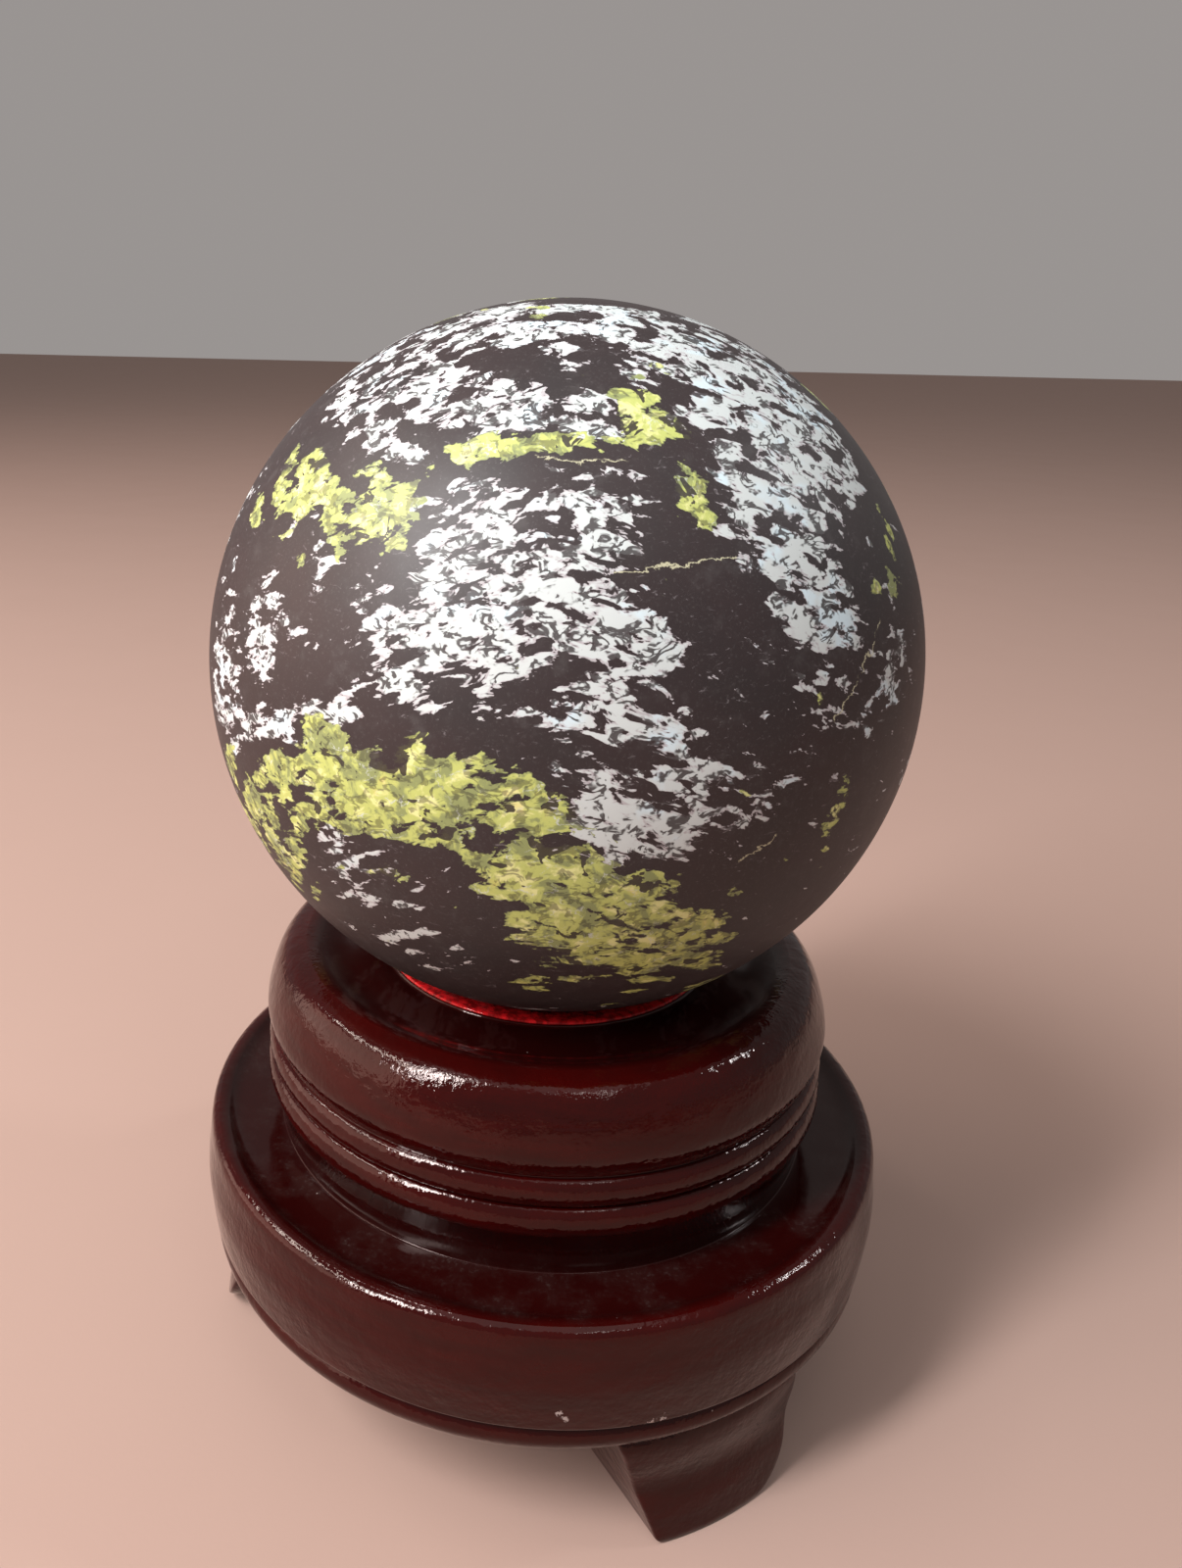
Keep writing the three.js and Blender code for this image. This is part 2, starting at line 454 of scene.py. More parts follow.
# Each patch is azimuth, elevation, half-length, half-width and tilt in degrees, with a strength from 0 to 1.
PALE_PATCHES: tuple[tuple[float, ...], ...] = (
    # the crown
    (-42, 66, 7, 2.0, 10, 0.9), (-12, 67, 8, 1.8, 0, 0.9), (6, 66, 6, 2.0, -5, 1.0),
    (30, 62.5, 7, 1.6, -15, 1.0), (42, 66, 6, 1.7, -20, 1.0), (-20, 77, 5, 1.8, 0, 0.9),
    (5, 76, 6, 1.8, 0, 1.0), (35, 73, 6, 1.4, -10, 0.9), (22, 70, 5, 1.0, -5, 0.8),
    (-50, 72, 6, 1.5, 20, 0.8), (-5, 62, 3, 0.8, 10, 0.6),
    # streaks high on the left
    (-33, 50, 9, 1.9, 22, 0.95), (-22, 54, 7, 1.6, 24, 0.95), (-16, 53, 6, 1.3, 8, 0.9),
    (-50, 46, 4, 2.0, 15, 0.9), (-37, 44, 5, 1.7, 30, 0.95), (-30, 47, 5, 1.2, 25, 0.9),
    (-62, 50, 8, 1.5, 35, 0.95), (-66, 58, 6, 1.4, 30, 0.95), (-34, 41.5, 3.5, 1.5, 30, 0.9),
    (-27, 40, 2.5, 1.1, 30, 0.8), (-44, 42, 2, 1.2, 40, 0.8), (-20, 50, 5, 1.0, 5, 0.7),
    (-17, 46, 3, 1.0, 15, 0.7),
    # the small middle group
    (-13, 47, 3, 1.4, -5, 1.0), (-6.5, 47.5, 2, 1.0, 10, 0.9), (1, 46, 5, 1.8, 0, 1.0),
    (4, 49.5, 5, 1.6, -3, 1.0), (-9, 50.5, 4, 1.0, 5, 0.8), (6, 45.3, 2.2, 1.3, 0, 0.9),
    (9, 39, 3, 1.2, -10, 0.7), (11, 35.5, 2.5, 1.0, -10, 0.7),
    # the great central mass
    (-14.5, 33.5, 4.5, 3.2, 20, 1.0), (-16, 28.5, 3.5, 3.0, -60, 0.9), (-8, 31, 4, 2.0, 0, 0.9),
    (-4, 34, 4, 1.8, 15, 0.9), (2, 34, 4, 2.2, 10, 1.0), (7, 32, 3, 1.6, -20, 0.9),
    (3.5, 29.5, 4, 1.6, -5, 1.0), (8, 28.3, 2, 1.2, 0, 0.9), (-11, 25, 4, 3.0, -40, 0.9),
    (-4, 27, 3, 2.2, 0, 0.85), (-3, 23.5, 3.5, 2.4, 20, 0.9), (3, 25, 4.5, 2.4, 20, 1.0),
    (1.5, 22, 4, 1.8, 25, 1.0), (-13, 19, 6, 3.2, 0, 1.1), (-20, 17.5, 3.5, 2.4, 60, 1.0),
    (-7, 18.5, 5, 3.0, 0, 1.1), (4, 19.5, 5, 2.4, 10, 1.1), (10.5, 20, 3, 2.0, 0, 1.0),
    (12.8, 16.5, 2, 2.4, 90, 0.9), (7.5, 16, 4, 1.6, 0, 1.0), (-7, 14, 4, 2.0, -10, 1.0),
    (-15, 15, 3, 2.0, -40, 1.0), (-23.5, 14.5, 3, 1.3, 80, 0.8), (-27, 14, 1.6, 1.0, 60, 0.7),
    (6.5, 13.6, 2.5, 0.9, 0, 0.9), (11.5, 13, 2.5, 0.8, 0, 0.8), (-21.5, 10, 4, 1.6, -8, 1.0),
    (-18.5, 9, 1.3, 1.0, 0, 0.9), (-15.3, 7.6, 1.8, 1.8, -50, 0.9), (-9, 9.5, 1.6, 1.3, -60, 0.9),
    (-6, 8.5, 2.2, 0.8, 0, 0.8), (-1, 15.3, 2, 1.2, 0, 0.8), (-26, 18, 3, 1.0, 60, 0.6),
    # belts below it
    (3.5, 11, 4.5, 1.0, -8, 0.9), (2.5, 8.3, 5, 1.1, -12, 1.0), (7, 6.4, 3, 1.3, -8, 0.9),
    (11, 8.2, 3, 1.6, 10, 1.0), (14.3, 6, 2.2, 1.5, -60, 1.0), (17.5, 6.5, 1.2, 1.0, 0, 0.9),
    (15, 10, 1.6, 0.8, 20, 0.8), (15.3, 3.5, 1.8, 0.8, -60, 0.8), (17, 1.4, 1.4, 1.0, -20, 0.9),
    # the pair low in the middle
    (2, 1.7, 3, 1.0, 0, 0.9), (6, 0.4, 3.5, 1.3, -20, 1.0), (12, 0.8, 4.5, 1.6, 0, 1.1),
    (9.5, -2, 4, 1.8, -30, 1.0), (16, -2.5, 2.8, 2.2, -30, 1.0), (5.5, -4.6, 3.5, 1.2, -25, 0.9),
    (11, -5.5, 4, 2.0, -20, 1.1), (8, -8, 3, 1.8, -30, 1.0), (13, -8.8, 3.5, 1.3, 10, 1.0),
    (18.5, -6.4, 2, 1.0, 15, 0.9), (8.3, -11.3, 2, 0.8, -40, 0.8), (25.7, -6, 1.2, 0.9, 60, 0.6),
    # the left edge
    (-55, 4, 2.5, 2.2, 80, 1.0), (-46, 9.5, 3.5, 1.2, 80, 1.0), (-43, 8.5, 4, 1.2, 85, 1.0),
    (-60, 8, 5, 1.0, 85, 0.9), (-57, -2, 4, 2.2, -70, 1.0), (-55, -6, 2.5, 1.0, -70, 0.9),
    (-48, -1, 2.5, 1.0, -50, 0.9), (-43, -0.6, 2.2, 1.2, -50, 0.9), (-38.6, 0, 1.3, 1.6, -70, 1.0),
    (-30.5, 4, 1.6, 1.3, -30, 0.9), (-26.5, 5.5, 1.5, 0.9, -60, 0.8), (-44, 16.5, 2.5, 1.3, 15, 0.9),
    (-49, 14, 3, 0.8, 80, 0.9), (-37, 23.5, 1.8, 1.3, 50, 1.0), (-36, 20.4, 1.1, 0.9, 0, 1.0),
    (-46, 26, 2, 0.7, 80, 0.9), (-41, 28.5, 2.4, 1.3, 60, 1.0), (-63, 21, 3, 0.8, 80, 0.9),
    (-63, 0, 5, 1.0, -85, 0.9),
    # the mass on the right
    (28, 41, 2.6, 2.8, 0, 1.0), (28.5, 37.5, 3.5, 2.4, -60, 1.1), (26, 34, 2, 3.0, 80, 0.6),
    (26.5, 34, 3, 1.6, 80, 0.9), (25, 31, 2, 1.2, 0, 1.0), (33, 39, 3, 1.6, -30, 0.9),
    (35.5, 36, 3.5, 1.8, -35, 1.0), (37.5, 33.8, 3, 1.6, -45, 1.0), (40, 38, 4, 2.0, -40, 1.0),
    (43, 34, 4, 1.6, -50, 0.9), (39.5, 29.5, 3.5, 1.1, -80, 0.9), (46, 30, 3, 1.0, -60, 0.8),
    (27, 27, 2, 1.3, -10, 1.0), (31, 30, 2.4, 1.0, -70, 0.9), (33.5, 26.3, 3, 1.4, -50, 1.0),
    (31, 23.5, 2.6, 1.6, 90, 1.0), (35, 24, 2.5, 1.3, -60, 1.0), (31.5, 20.5, 2, 1.4, 0, 1.0),
    (36.5, 21, 2.2, 1.5, 0, 0.9), (40.5, 22.5, 2.5, 1.0, -70, 0.9), (33, 17.5, 2, 1.6, 0, 1.0),
    (37, 17, 2.5, 1.5, 0, 1.0), (41.5, 17.5, 2, 1.8, 0, 1.0), (44.5, 16, 1.4, 0.8, 0, 0.7),
    (33, 12.5, 2, 0.8, -60, 0.9), (36, 11, 1.5, 1.2, 80, 0.8), (37.5, 13.5, 1, 1.2, 0, 0.8),
    # bands that run over the right shoulder
    (25.5, 48.5, 1.8, 1.2, 0, 0.9), (28, 47, 2.2, 1.2, -20, 0.9), (24, 46.8, 1, 0.6, 0, 0.9),
    (31.5, 46, 2.2, 0.6, -40, 0.8), (38, 46, 3, 1.8, -20, 1.0), (37, 43.5, 3, 1.2, -30, 0.9),
    (44, 44, 4, 1.6, -35, 1.0), (36, 50.5, 4, 1.0, -25, 1.0), (39, 55.5, 6, 1.6, -30, 1.0),
    (33, 58, 3, 1.0, -20, 0.9), (50, 52, 6, 2.0, -35, 1.0), (58, 47.5, 6, 2.2, -45, 1.0),
    (62, 41.5, 5, 1.6, -60, 1.0), (55, 41, 5, 1.0, -55, 0.9), (54, 36, 4, 1.0, -60, 0.9),
    (43, 62, 6, 1.4, -25, 1.0), (58, 58, 6, 1.4, -35, 1.0), (47, 47.5, 3, 1.0, -40, 0.9),
    (49, 39, 4, 0.9, -50, 0.8),
    # sparser areas of broken streaks
    (-35, 70, 24, 5, 8, 0.60), (10, 72, 22, 5, -4, 0.62), (-60, 58, 12, 4, 30, 0.45),
    (-40, 56, 14, 3, 22, 0.35), (-22, 47, 10, 3.5, 15, 0.30), (-47, 46, 8, 5, 20, 0.42),
    (38, 53, 10, 4, -30, 0.72), (50, 47, 10, 4, -45, 0.78), (58, 42, 8, 3.5, -60, 0.75),
    (45, 41, 7, 3.5, -45, 0.75), (28, 60, 9, 2.5, -20, 0.6), (48, 60, 10, 3.5, -28, 0.72),
    (38, 28, 4, 3, -50, 0.85), (36, 19.5, 5, 4, 0, 0.9), (41, 20, 3.5, 3, 0, 0.75),
    (42, 35, 5, 3, -45, 0.85), (30.5, 33, 3, 2.5, -70, 0.75), (12, -4, 7, 4, -20, 0.8),
    (5, -2, 5, 2, -20, 0.65), (16, -8, 4, 2.5, -10, 0.75), (17, 0, 3, 2, 0, 0.65), (8, 7.5, 8, 3, -5, 0.6),
    (-17, 26, 3.5, 2.5, 0, 0.85), (-47, 11, 5, 3, 80, 0.75), (-56, 6, 6, 4, 80, 0.72),
    (-52, -2, 6, 2.2, -35, 0.8), (-44, 0, 4, 1.8, -20, 0.85), (-38, 1.5, 3, 1.4, 0, 0.85),
    (-33, 4.8, 3.4, 1.5, -10, 0.9), (-28, 6, 3.2, 1.5, -30, 0.85), (-62, 4, 4, 8, 0, 0.68),
    (-45, 18, 4, 2.5, 30, 0.55), (-31, -15, 4.5, 3, -30, 0.58), (-23, -31, 7, 2, -38, 0.62),
    (-17, -36, 6, 1.6, -30, 0.62), (3, 38, 12, 2, -4, 0.45), (48, 8, 5, 6, 0, 0.50), (30, 5, 8, 8, 0, 0.36),
    (24, -5, 4, 5, 0, 0.46), (56, 12, 5, 7, 0, 0.55), (-26, -21, 9, 5, -35, 0.40),
    (-30, 24, 6, 4, 30, 0.40),
    # faint fragments
    (45.5, 7.5, 1.8, 1.0, 60, 0.6), (52, 8.5, 3, 0.8, 80, 0.6), (57, 13, 3, 1.0, 85, 0.6),
    (39.5, 6.3, 1, 0.7, 40, 0.6), (42, 4.5, 1, 0.6, -40, 0.6), (-28, -24, 2.5, 0.6, -45, 0.6),
    (-23.5, -30, 3.5, 0.9, -35, 0.75), (-20, -33.5, 4.5, 0.9, -30, 0.85), (-14.5, -38, 3.5, 0.6, -25, 0.7),
    (-32, -13.5, 2.5, 1.2, 30, 0.65), (-29, -17, 2.5, 0.8, -40, 0.65), (-26.5, -19.5, 1.2, 0.6, 0, 0.6),
)
GREEN_PATCHES: tuple[tuple[float, ...], ...] = (
    # high on the left
    (-57.5, 34.5, 4, 1.6, 60, 1.0), (-62, 29, 4.5, 1.4, 50, 1.0), (-50, 37, 2.6, 2.0, 0, 1.0),
    (-47, 34.8, 3, 2.2, -30, 1.0), (-46.5, 32, 3, 1.8, 0, 1.0), (-51, 30.5, 2, 1.0, -60, 0.8),
    (-42, 34, 2, 1.4, 30, 0.9), (-38.5, 31.5, 2.5, 2.6, -70, 0.7), (-34.5, 37.6, 2, 1.0, -20, 0.9),
    (-32, 36.5, 1.4, 1.2, 0, 1.0), (-28.5, 33, 3.6, 2.8, -20, 1.0), (-25.5, 30.5, 2.6, 2.0, -30, 1.0),
    (-24.3, 28, 1.2, 1.6, 90, 0.9), (-29.5, 28.3, 3, 1.8, -20, 0.75), (-35.5, 27, 2, 1.0, 30, 0.65),
    (-41.5, 24, 1.6, 0.9, 60, 0.9),
    # the arched band under the crown
    (-23.2, 38.5, 1.8, 0.8, 50, 0.9), (-18, 41, 2, 1.0, 10, 0.9), (-16.8, 39.7, 2, 0.9, 45, 0.9),
    (-13.8, 43, 2.2, 1.8, 20, 1.0), (-9.8, 42.3, 3.6, 1.6, -5, 1.1), (-5, 42.8, 3, 0.9, 10, 1.0),
    (0, 44, 3.4, 0.8, 5, 0.9), (12.5, 51.5, 3, 1.0, 10, 0.9), (16.6, 51, 2, 0.8, -20, 0.9),
    (11.5, 48.5, 2, 1.6, -60, 0.9), (12.6, 45.8, 3.2, 2.2, -20, 1.1), (15, 44.4, 2, 1.2, 0, 1.0),
    (19, 46.5, 1.8, 1.6, 40, 0.8), (20.5, 44, 1.5, 0.8, 0, 0.8), (18, 40.5, 1.6, 0.8, -40, 0.7),
    (18.5, 38.2, 2.2, 1.0, -80, 0.8), (21, 37.6, 1.6, 1.0, 30, 0.9), (19, 35, 2.4, 1.0, -30, 0.9),
    (21.3, 33, 1.4, 1.6, 90, 1.0), (4.8, 42, 1, 0.8, 0, 0.7), (3.5, 55, 1.5, 0.8, 0, 0.55),
    (18, 55.5, 2.5, 0.6, -10, 0.6), (21.5, 57.8, 2.5, 0.8, -20, 0.65), (-15, 71.5, 3, 1.2, 0, 0.9),
    (-22, 76, 2, 1.0, 0, 0.9),
    # low on the left
    (-32, 1.8, 3, 1.8, 20, 1.0), (-29, 1.5, 1.8, 2.0, -60, 0.9), (-30, -2.3, 3, 1.2, -50, 0.9),
    (-42, -4.8, 1.8, 1.6, -40, 1.0), (-39, -6, 1.6, 0.9, -50, 0.9), (-34.5, -4.5, 1.4, 1.2, -70, 0.9),
    (-33, -8, 3.4, 1.0, -75, 0.9), (-24, -2.8, 3.6, 2.4, -10, 1.1), (-22, -5, 3.4, 2.4, 0, 1.1),
    (-27.5, -6.5, 2.4, 2.4, -70, 0.9), (-26, -10, 3.5, 1.0, -15, 0.9), (-21.5, -10.6, 2.6, 0.9, 0, 0.9),
    (-17.6, -9.6, 2, 1.2, 0, 1.0), (-18.5, 1.5, 2.6, 1.0, -60, 0.9), (-16.8, -1, 2.2, 1.6, -40, 1.0),
    (-13, -1.5, 1.6, 1.8, -70, 1.0), (-10, -4.2, 2.2, 1.3, 0, 1.0), (-12, -6.2, 1.3, 0.7, 0, 0.8),
    (-8.3, -0.2, 2.2, 1.2, -30, 1.0), (-5.5, -1.8, 2.6, 1.2, -25, 1.0), (-2.3, -3.6, 2.6, 1.2, -20, 1.0),
    (0.5, -5.6, 2.6, 1.4, -10, 1.0), (-37, -10.5, 1.5, 0.7, -20, 0.8), (-12, -10.2, 1.6, 0.8, 30, 0.8),
    (-10, -8.2, 1, 0.5, 20, 0.8), (-9.3, -12.6, 1.5, 0.8, 20, 0.9), (-24, -16.5, 1.3, 0.8, 0, 0.7),
    (-20.8, -17.5, 1.2, 1.0, 0, 0.75),
    # down the left edge
    (-58, -11, 3.2, 1.4, -55, 1.0), (-53.5, -13.5, 3.4, 1.2, -50, 1.0), (-46, -15, 2.6, 1.4, -50, 1.0),
    (-48.5, -19, 4, 0.9, -55, 1.0), (-44.5, -23.5, 4, 1.1, -50, 1.0), (-42, -28, 3, 1.0, -50, 0.9),
    (-41.5, -10, 2, 0.8, -60, 0.9), (-49, -9, 1.2, 0.7, 0, 0.8), (-52, -17, 8, 3.6, -55, 0.88),
    (-46, -23, 8, 3.2, -52, 0.88), (-43, -7, 3.5, 2.2, -45, 0.85), (-60, -10, 5, 2, -55, 0.8),
    (-38, -13, 3.5, 1.5, -45, 0.7), (-35, -3, 5, 3.5, -60, 0.6), (-24, -5, 9, 5, -15, 0.55),
    (-13, -2, 6, 3.2, -30, 0.85), (-6, -3, 6, 2.6, -25, 0.8), (-1, -5, 4, 2, -25, 0.8),
    (-24, -18, 4, 2, -20, 0.5),
    # the great mass low in front
    (-3, -9, 3.4, 1.0, 15, 0.9), (1, -10.5, 3.6, 2.0, 0, 1.0), (-4.5, -12.5, 2.8, 1.6, -30, 1.0),
    (-1, -13.5, 2.6, 1.8, -20, 1.0), (-4, -17.3, 3.4, 0.9, 0, 1.0), (0, -17.5, 3, 1.6, 0, 1.1),
    (4.5, -10, 3, 1.5, -20, 1.0), (6, -13.5, 2, 2.0, -60, 1.0), (5, -17.5, 4, 1.7, 0, 1.1),
    (0.5, -21, 3.6, 1.8, -20, 1.0), (4.5, -24, 4.4, 2.6, 0, 1.1), (-1.5, -26.3, 2.6, 1.0, 10, 0.9),
    (7, -27.5, 3, 1.6, 10, 1.0), (3, -30.5, 4, 1.2, 0, 0.9), (12.3, -14, 2, 1.2, -10, 1.0),
    (15, -15.3, 2, 0.9, 0, 1.0), (11, -17.8, 2, 0.8, 0, 0.9), (14.8, -20.2, 2.2, 1.4, -10, 1.0),
    (18.8, -20, 2.4, 1.0, 15, 1.0), (20.5, -23.6, 3, 2.0, 20, 1.0), (17.5, -26, 3, 1.4, 30, 0.9),
    (24, -23.5, 2.2, 1.8, -30, 1.0), (23.5, -27.5, 3, 1.4, 10, 1.0), (28.5, -27.5, 2.4, 1.0, 10, 0.9),
    (14.5, -30, 4, 1.0, 15, 0.9), (16.5, -32.5, 2.6, 1.8, 0, 1.0), (25.5, -32, 4, 1.2, 10, 0.9),
    (29, -35.5, 3, 1.0, 15, 0.9), (22, -37.5, 4, 0.8, 10, 0.9), (17, -41, 3, 0.7, 5, 0.8),
    (3, -35.5, 3.6, 0.8, -5, 0.8), (-1.5, -37.5, 2.2, 0.8, 0, 0.8), (-1, -40, 2, 0.6, 0, 0.7),
    (-4, -13, 5, 3, -10, 0.7), (2, -18, 9, 5, -5, 0.48), (5, -27, 8, 4, 0, 0.35),
    (20, -24, 7, 4.5, 20, 0.42), (10, -17, 6, 3.5, 0, 0.65), (22, -33, 9, 3.5, 12, 0.40),
    (4, -36, 7, 3, 0, 0.38), (-50, 31, 6, 5, 0, 0.45), (-30, 30, 6, 4, -20, 0.55),
    # single fragments on the right
    (26.8, -17.6, 2, 1.0, 25, 0.8), (23, -12, 1.2, 0.7, 0, 0.6), (42.3, -6.5, 3.2, 1.5, 85, 0.85),
    (41.5, -12, 3, 1.0, 60, 0.7), (34.3, -13.6, 1.5, 0.9, 0, 0.8), (25.3, -2.2, 1.6, 0.7, 50, 0.8),
    (25, 1.4, 0.9, 0.5, 0, 0.7), (36.2, 8.5, 0.6, 1.3, 0, 0.8), (51, 21, 1.3, 1.4, 0, 0.9),
    (57, 21, 2.2, 1.5, 70, 0.9), (60.5, 25, 3, 1.0, 80, 0.9), (63, 29, 3, 0.8, 80, 0.9),
    (14.5, -48, 1.5, 0.8, 0, 0.8),
)
# Hair-thin veins, each a run of azimuth and elevation in degrees.
VEINS: tuple[tuple[tuple[float, float], ...], ...] = (
    ((8, 26), (12, 26.1), (17.5, 27), (23.5, 27.6)),
    ((39.5, 6.2), (43, 9.5), (47, 13.6)),
    ((47, 13), (50, 16.2)),
    ((27, -12), (30.5, -10)),
    ((-4, 41), (2, 40.4), (9, 40.8)),
)


@dataclass(frozen=True)
class PolishedStone:
    """The finish of the ball: a dark ground with ragged pale and green minerals under a satin polish."""

    ground: Colour = (0.0235, 0.0180, 0.0190)
    ground_light: Colour = (0.058, 0.051, 0.051)
    ground_brown: Colour = (0.031, 0.018, 0.019)
    white: Colour = (0.50, 0.54, 0.54)
    white_blue: Colour = (0.54, 0.68, 0.76)
    white_dull: Colour = (0.36, 0.33, 0.35)
    yellow_green: Colour = (0.42, 0.46, 0.135)
    yellow_pale: Colour = (0.66, 0.66, 0.30)
    green_grey: Colour = (0.22, 0.25, 0.10)
    orange: Colour = (0.66, 0.42, 0.12)
    vein: Colour = (0.58, 0.56, 0.38)
    roughness: float = 0.48
    mirror: float = 0.36
    ior: float = 1.5
    # Sizes in millimetres of the patches' blots, their ragged edges and the breadth of the arches' tops.
    blot: float = 3.6
    grain: float = 1.6
    arch_top: float = 4.0
    arch_fall: float = 0.34
    relief: float = 0.04

    def streaked(self, s: Shader, scale: Sequence[float], offset: Sequence[float]) -> Socket:
        """Coordinates drawn out into streaks that fall away in arches to both sides."""
        return s.arched(scale, offset, self.arch_fall, self.arch_top)

    def ground_colour(self, s: Shader, film: Socket, fine: Socket) -> Socket:
        """The dark ground: brown clouds, a light film, fine specks and faint wisps.

        Args:
            s: the shader.
            film: noise of a few millimetres.
            fine: the finest noise.

        Returns:
            The colour.
        """
        shade = (s.noise(s.place(), 9.0, 4.0) * 1.6 - 0.45).clip()
        colour = s.mix(shade, self.ground, self.ground_brown)
        colour = s.mix(film.step(0.52, 0.80) * 0.6, colour, self.ground_light)
        colour = s.mix(fine.step(0.54, 0.72) * 0.6, colour, self.ground_light)
        drawn_out = s.place((0.6, 0.6, 1.6), (8.0, 4.0, 90.0))
        wisps = s.noise(drawn_out, 0.9, 4.0, 0.7, 1.0).step(0.62, 0.74)
        return s.mix(wisps * 0.35, colour, self.white_dull)

    def pale_colour(self, s: Shader, film: Socket, edge: Socket) -> Socket:
        """The pale mineral: white with bluish areas, duller in a film and along its edges.

        Args:
            s: the shader.
            film: noise of a few millimetres.
            edge: how far inside a patch a point is, 0 on its edge.

        Returns:
            The colour.
        """
        blue = s.noise(s.place(offset=(50.0, 0.0, 9.0)), 6.0, 3.0, 0.6).step(0.53, 0.66)
        colour = s.mix(blue * 0.75, self.white, self.white_blue)
        colour = s.mix(film.step(0.55, 0.75) * 0.4, colour, self.white_dull)
        return s.mix(edge.step(0.0, 0.38), self.white_dull, colour)

    def green_colour(self, s: Shader, film: Socket, edge: Socket, other: Socket) -> Socket:
        """The green mineral: grey-green to pale yellow clouds, a little rust, and pale threads.

        Args:
            s: the shader.
            film: noise of a few millimetres.
            edge: how far inside a patch a point is, 0 on its edge.
            other: the noise whose middle level the threads follow.

        Returns:
            The colour.
        """
        cloud = s.noise(s.place(offset=(2.0, 40.0, 9.0)), 2.4, 4.0, 0.58, 0.6)
        colour = s.mix(cloud.step(0.40, 0.50), self.green_grey, self.yellow_green)
        colour = s.mix(cloud.step(0.54, 0.63) * 0.85, colour, self.yellow_pale)
        rust = s.noise(s.place(offset=(4.0, 8.0, 70.0)), 5.0, 3.0, 0.6).step(0.60, 0.72)
        colour = s.mix(rust * cloud.step(0.45, 0.6) * 0.35, colour, self.orange)
        threads = (1.0 - abs(other - 0.5).step(0.002, 0.012)) * film.step(0.45, 0.6)
        colour = s.mix(threads * 0.7, colour, self.white)
        return s.mix(edge.step(0.0, 0.30), self.green_grey, colour)

    def material(self) -> bpy.types.Material:
        """Builds the stone's material from the mineral and vein fields stored on the ball.

        A mineral shows where its field plus noise passes a threshold, so its edges break into streaks. Dark
        dashes, which follow the middle level of another noise, cut through it.

        Returns:
            The finished material.
        """
        s = Shader("polished_stone")
        even = s.place()
        blots = s.noise(self.streaked(s, (0.72, 0.72, 1.4), (0.0, 0.0, 0.0)), self.blot, 5.0, 0.58, 0.4)
        ragged = s.noise(self.streaked(s, (0.66, 0.66, 1.5), (3.0, 9.0, 1.0)), self.grain, 3.0, 0.58, 0.45)
        other = s.noise(s.place((0.85, 0.85, 1.25), (31.0, 17.0, 5.0)), self.blot, 5.0, 0.58, 0.5)
        cracks = s.noise(s.place((0.8, 0.8, 1.3), (12.0, 5.0, 33.0)), 2.1, 3.0, warp=1.2)
        fine = s.noise(even, 0.3, 3.0, 0.7)
        film = s.noise(even, 2.2, 5.0, 0.6)

        gaps = s.noise(s.place((1.0, 1.0, 1.2), (44.0, 2.0, 7.0)), 1.6, 2.0).step(0.46, 0.53)
        dashes = (1.0 - abs(cracks - 0.5).step(0.035, 0.075)) * gaps
        jagged = (ragged - 0.5) * 5.4
        pale_edge = s.attribute(Mineral.PALE.value) * 1.75 - 1.20 + (blots - 0.5) * 3.2 + jagged
        pale = pale_edge.step(-0.04, 0.05) * (1.0 - dashes * 0.92)
        green_edge = s.attribute(Mineral.GREEN.value) * 2.0 - 1.20 + (other - 0.5) * 3.0 + jagged * 0.65
        pits = s.noise(s.place((0.9, 0.9, 1.2), (5.0, 66.0, 1.0)), 2.6, 3.0, warp=0.5).step(0.60, 0.615)
        green = green_edge.step(-0.04, 0.05) * (1.0 - pits.either(dashes * 0.6) * 0.95)
        off = abs(s.attribute(Vein.OFFSET.value) + (ragged - 0.5) * 3.0 + (fine - 0.5) * 0.8)
        run = s.attribute(Vein.RUN.value).step(0.35, 0.65) * blots.step(0.42, 0.50)
        vein = (1.0 - off.step(0.03, 0.17)) * run

        colour = s.mix(pale, self.ground_colour(s, film, fine), self.pale_colour(s, film, pale_edge))
        colour = s.mix(green, colour, self.green_colour(s, film, green_edge, other))
        colour = s.mix(vein * 0.75, colour, self.vein)
        rough = (film - 0.5) * 0.16 + pale * 0.05 + self.roughness
        normal = s.bump(ragged * 0.5 + fine * 0.3 + pale * 0.2, 0.2, self.relief * MM)
        return s.finish(colour, rough, normal, {"Specular IOR Level": self.mirror, "IOR": self.ior})


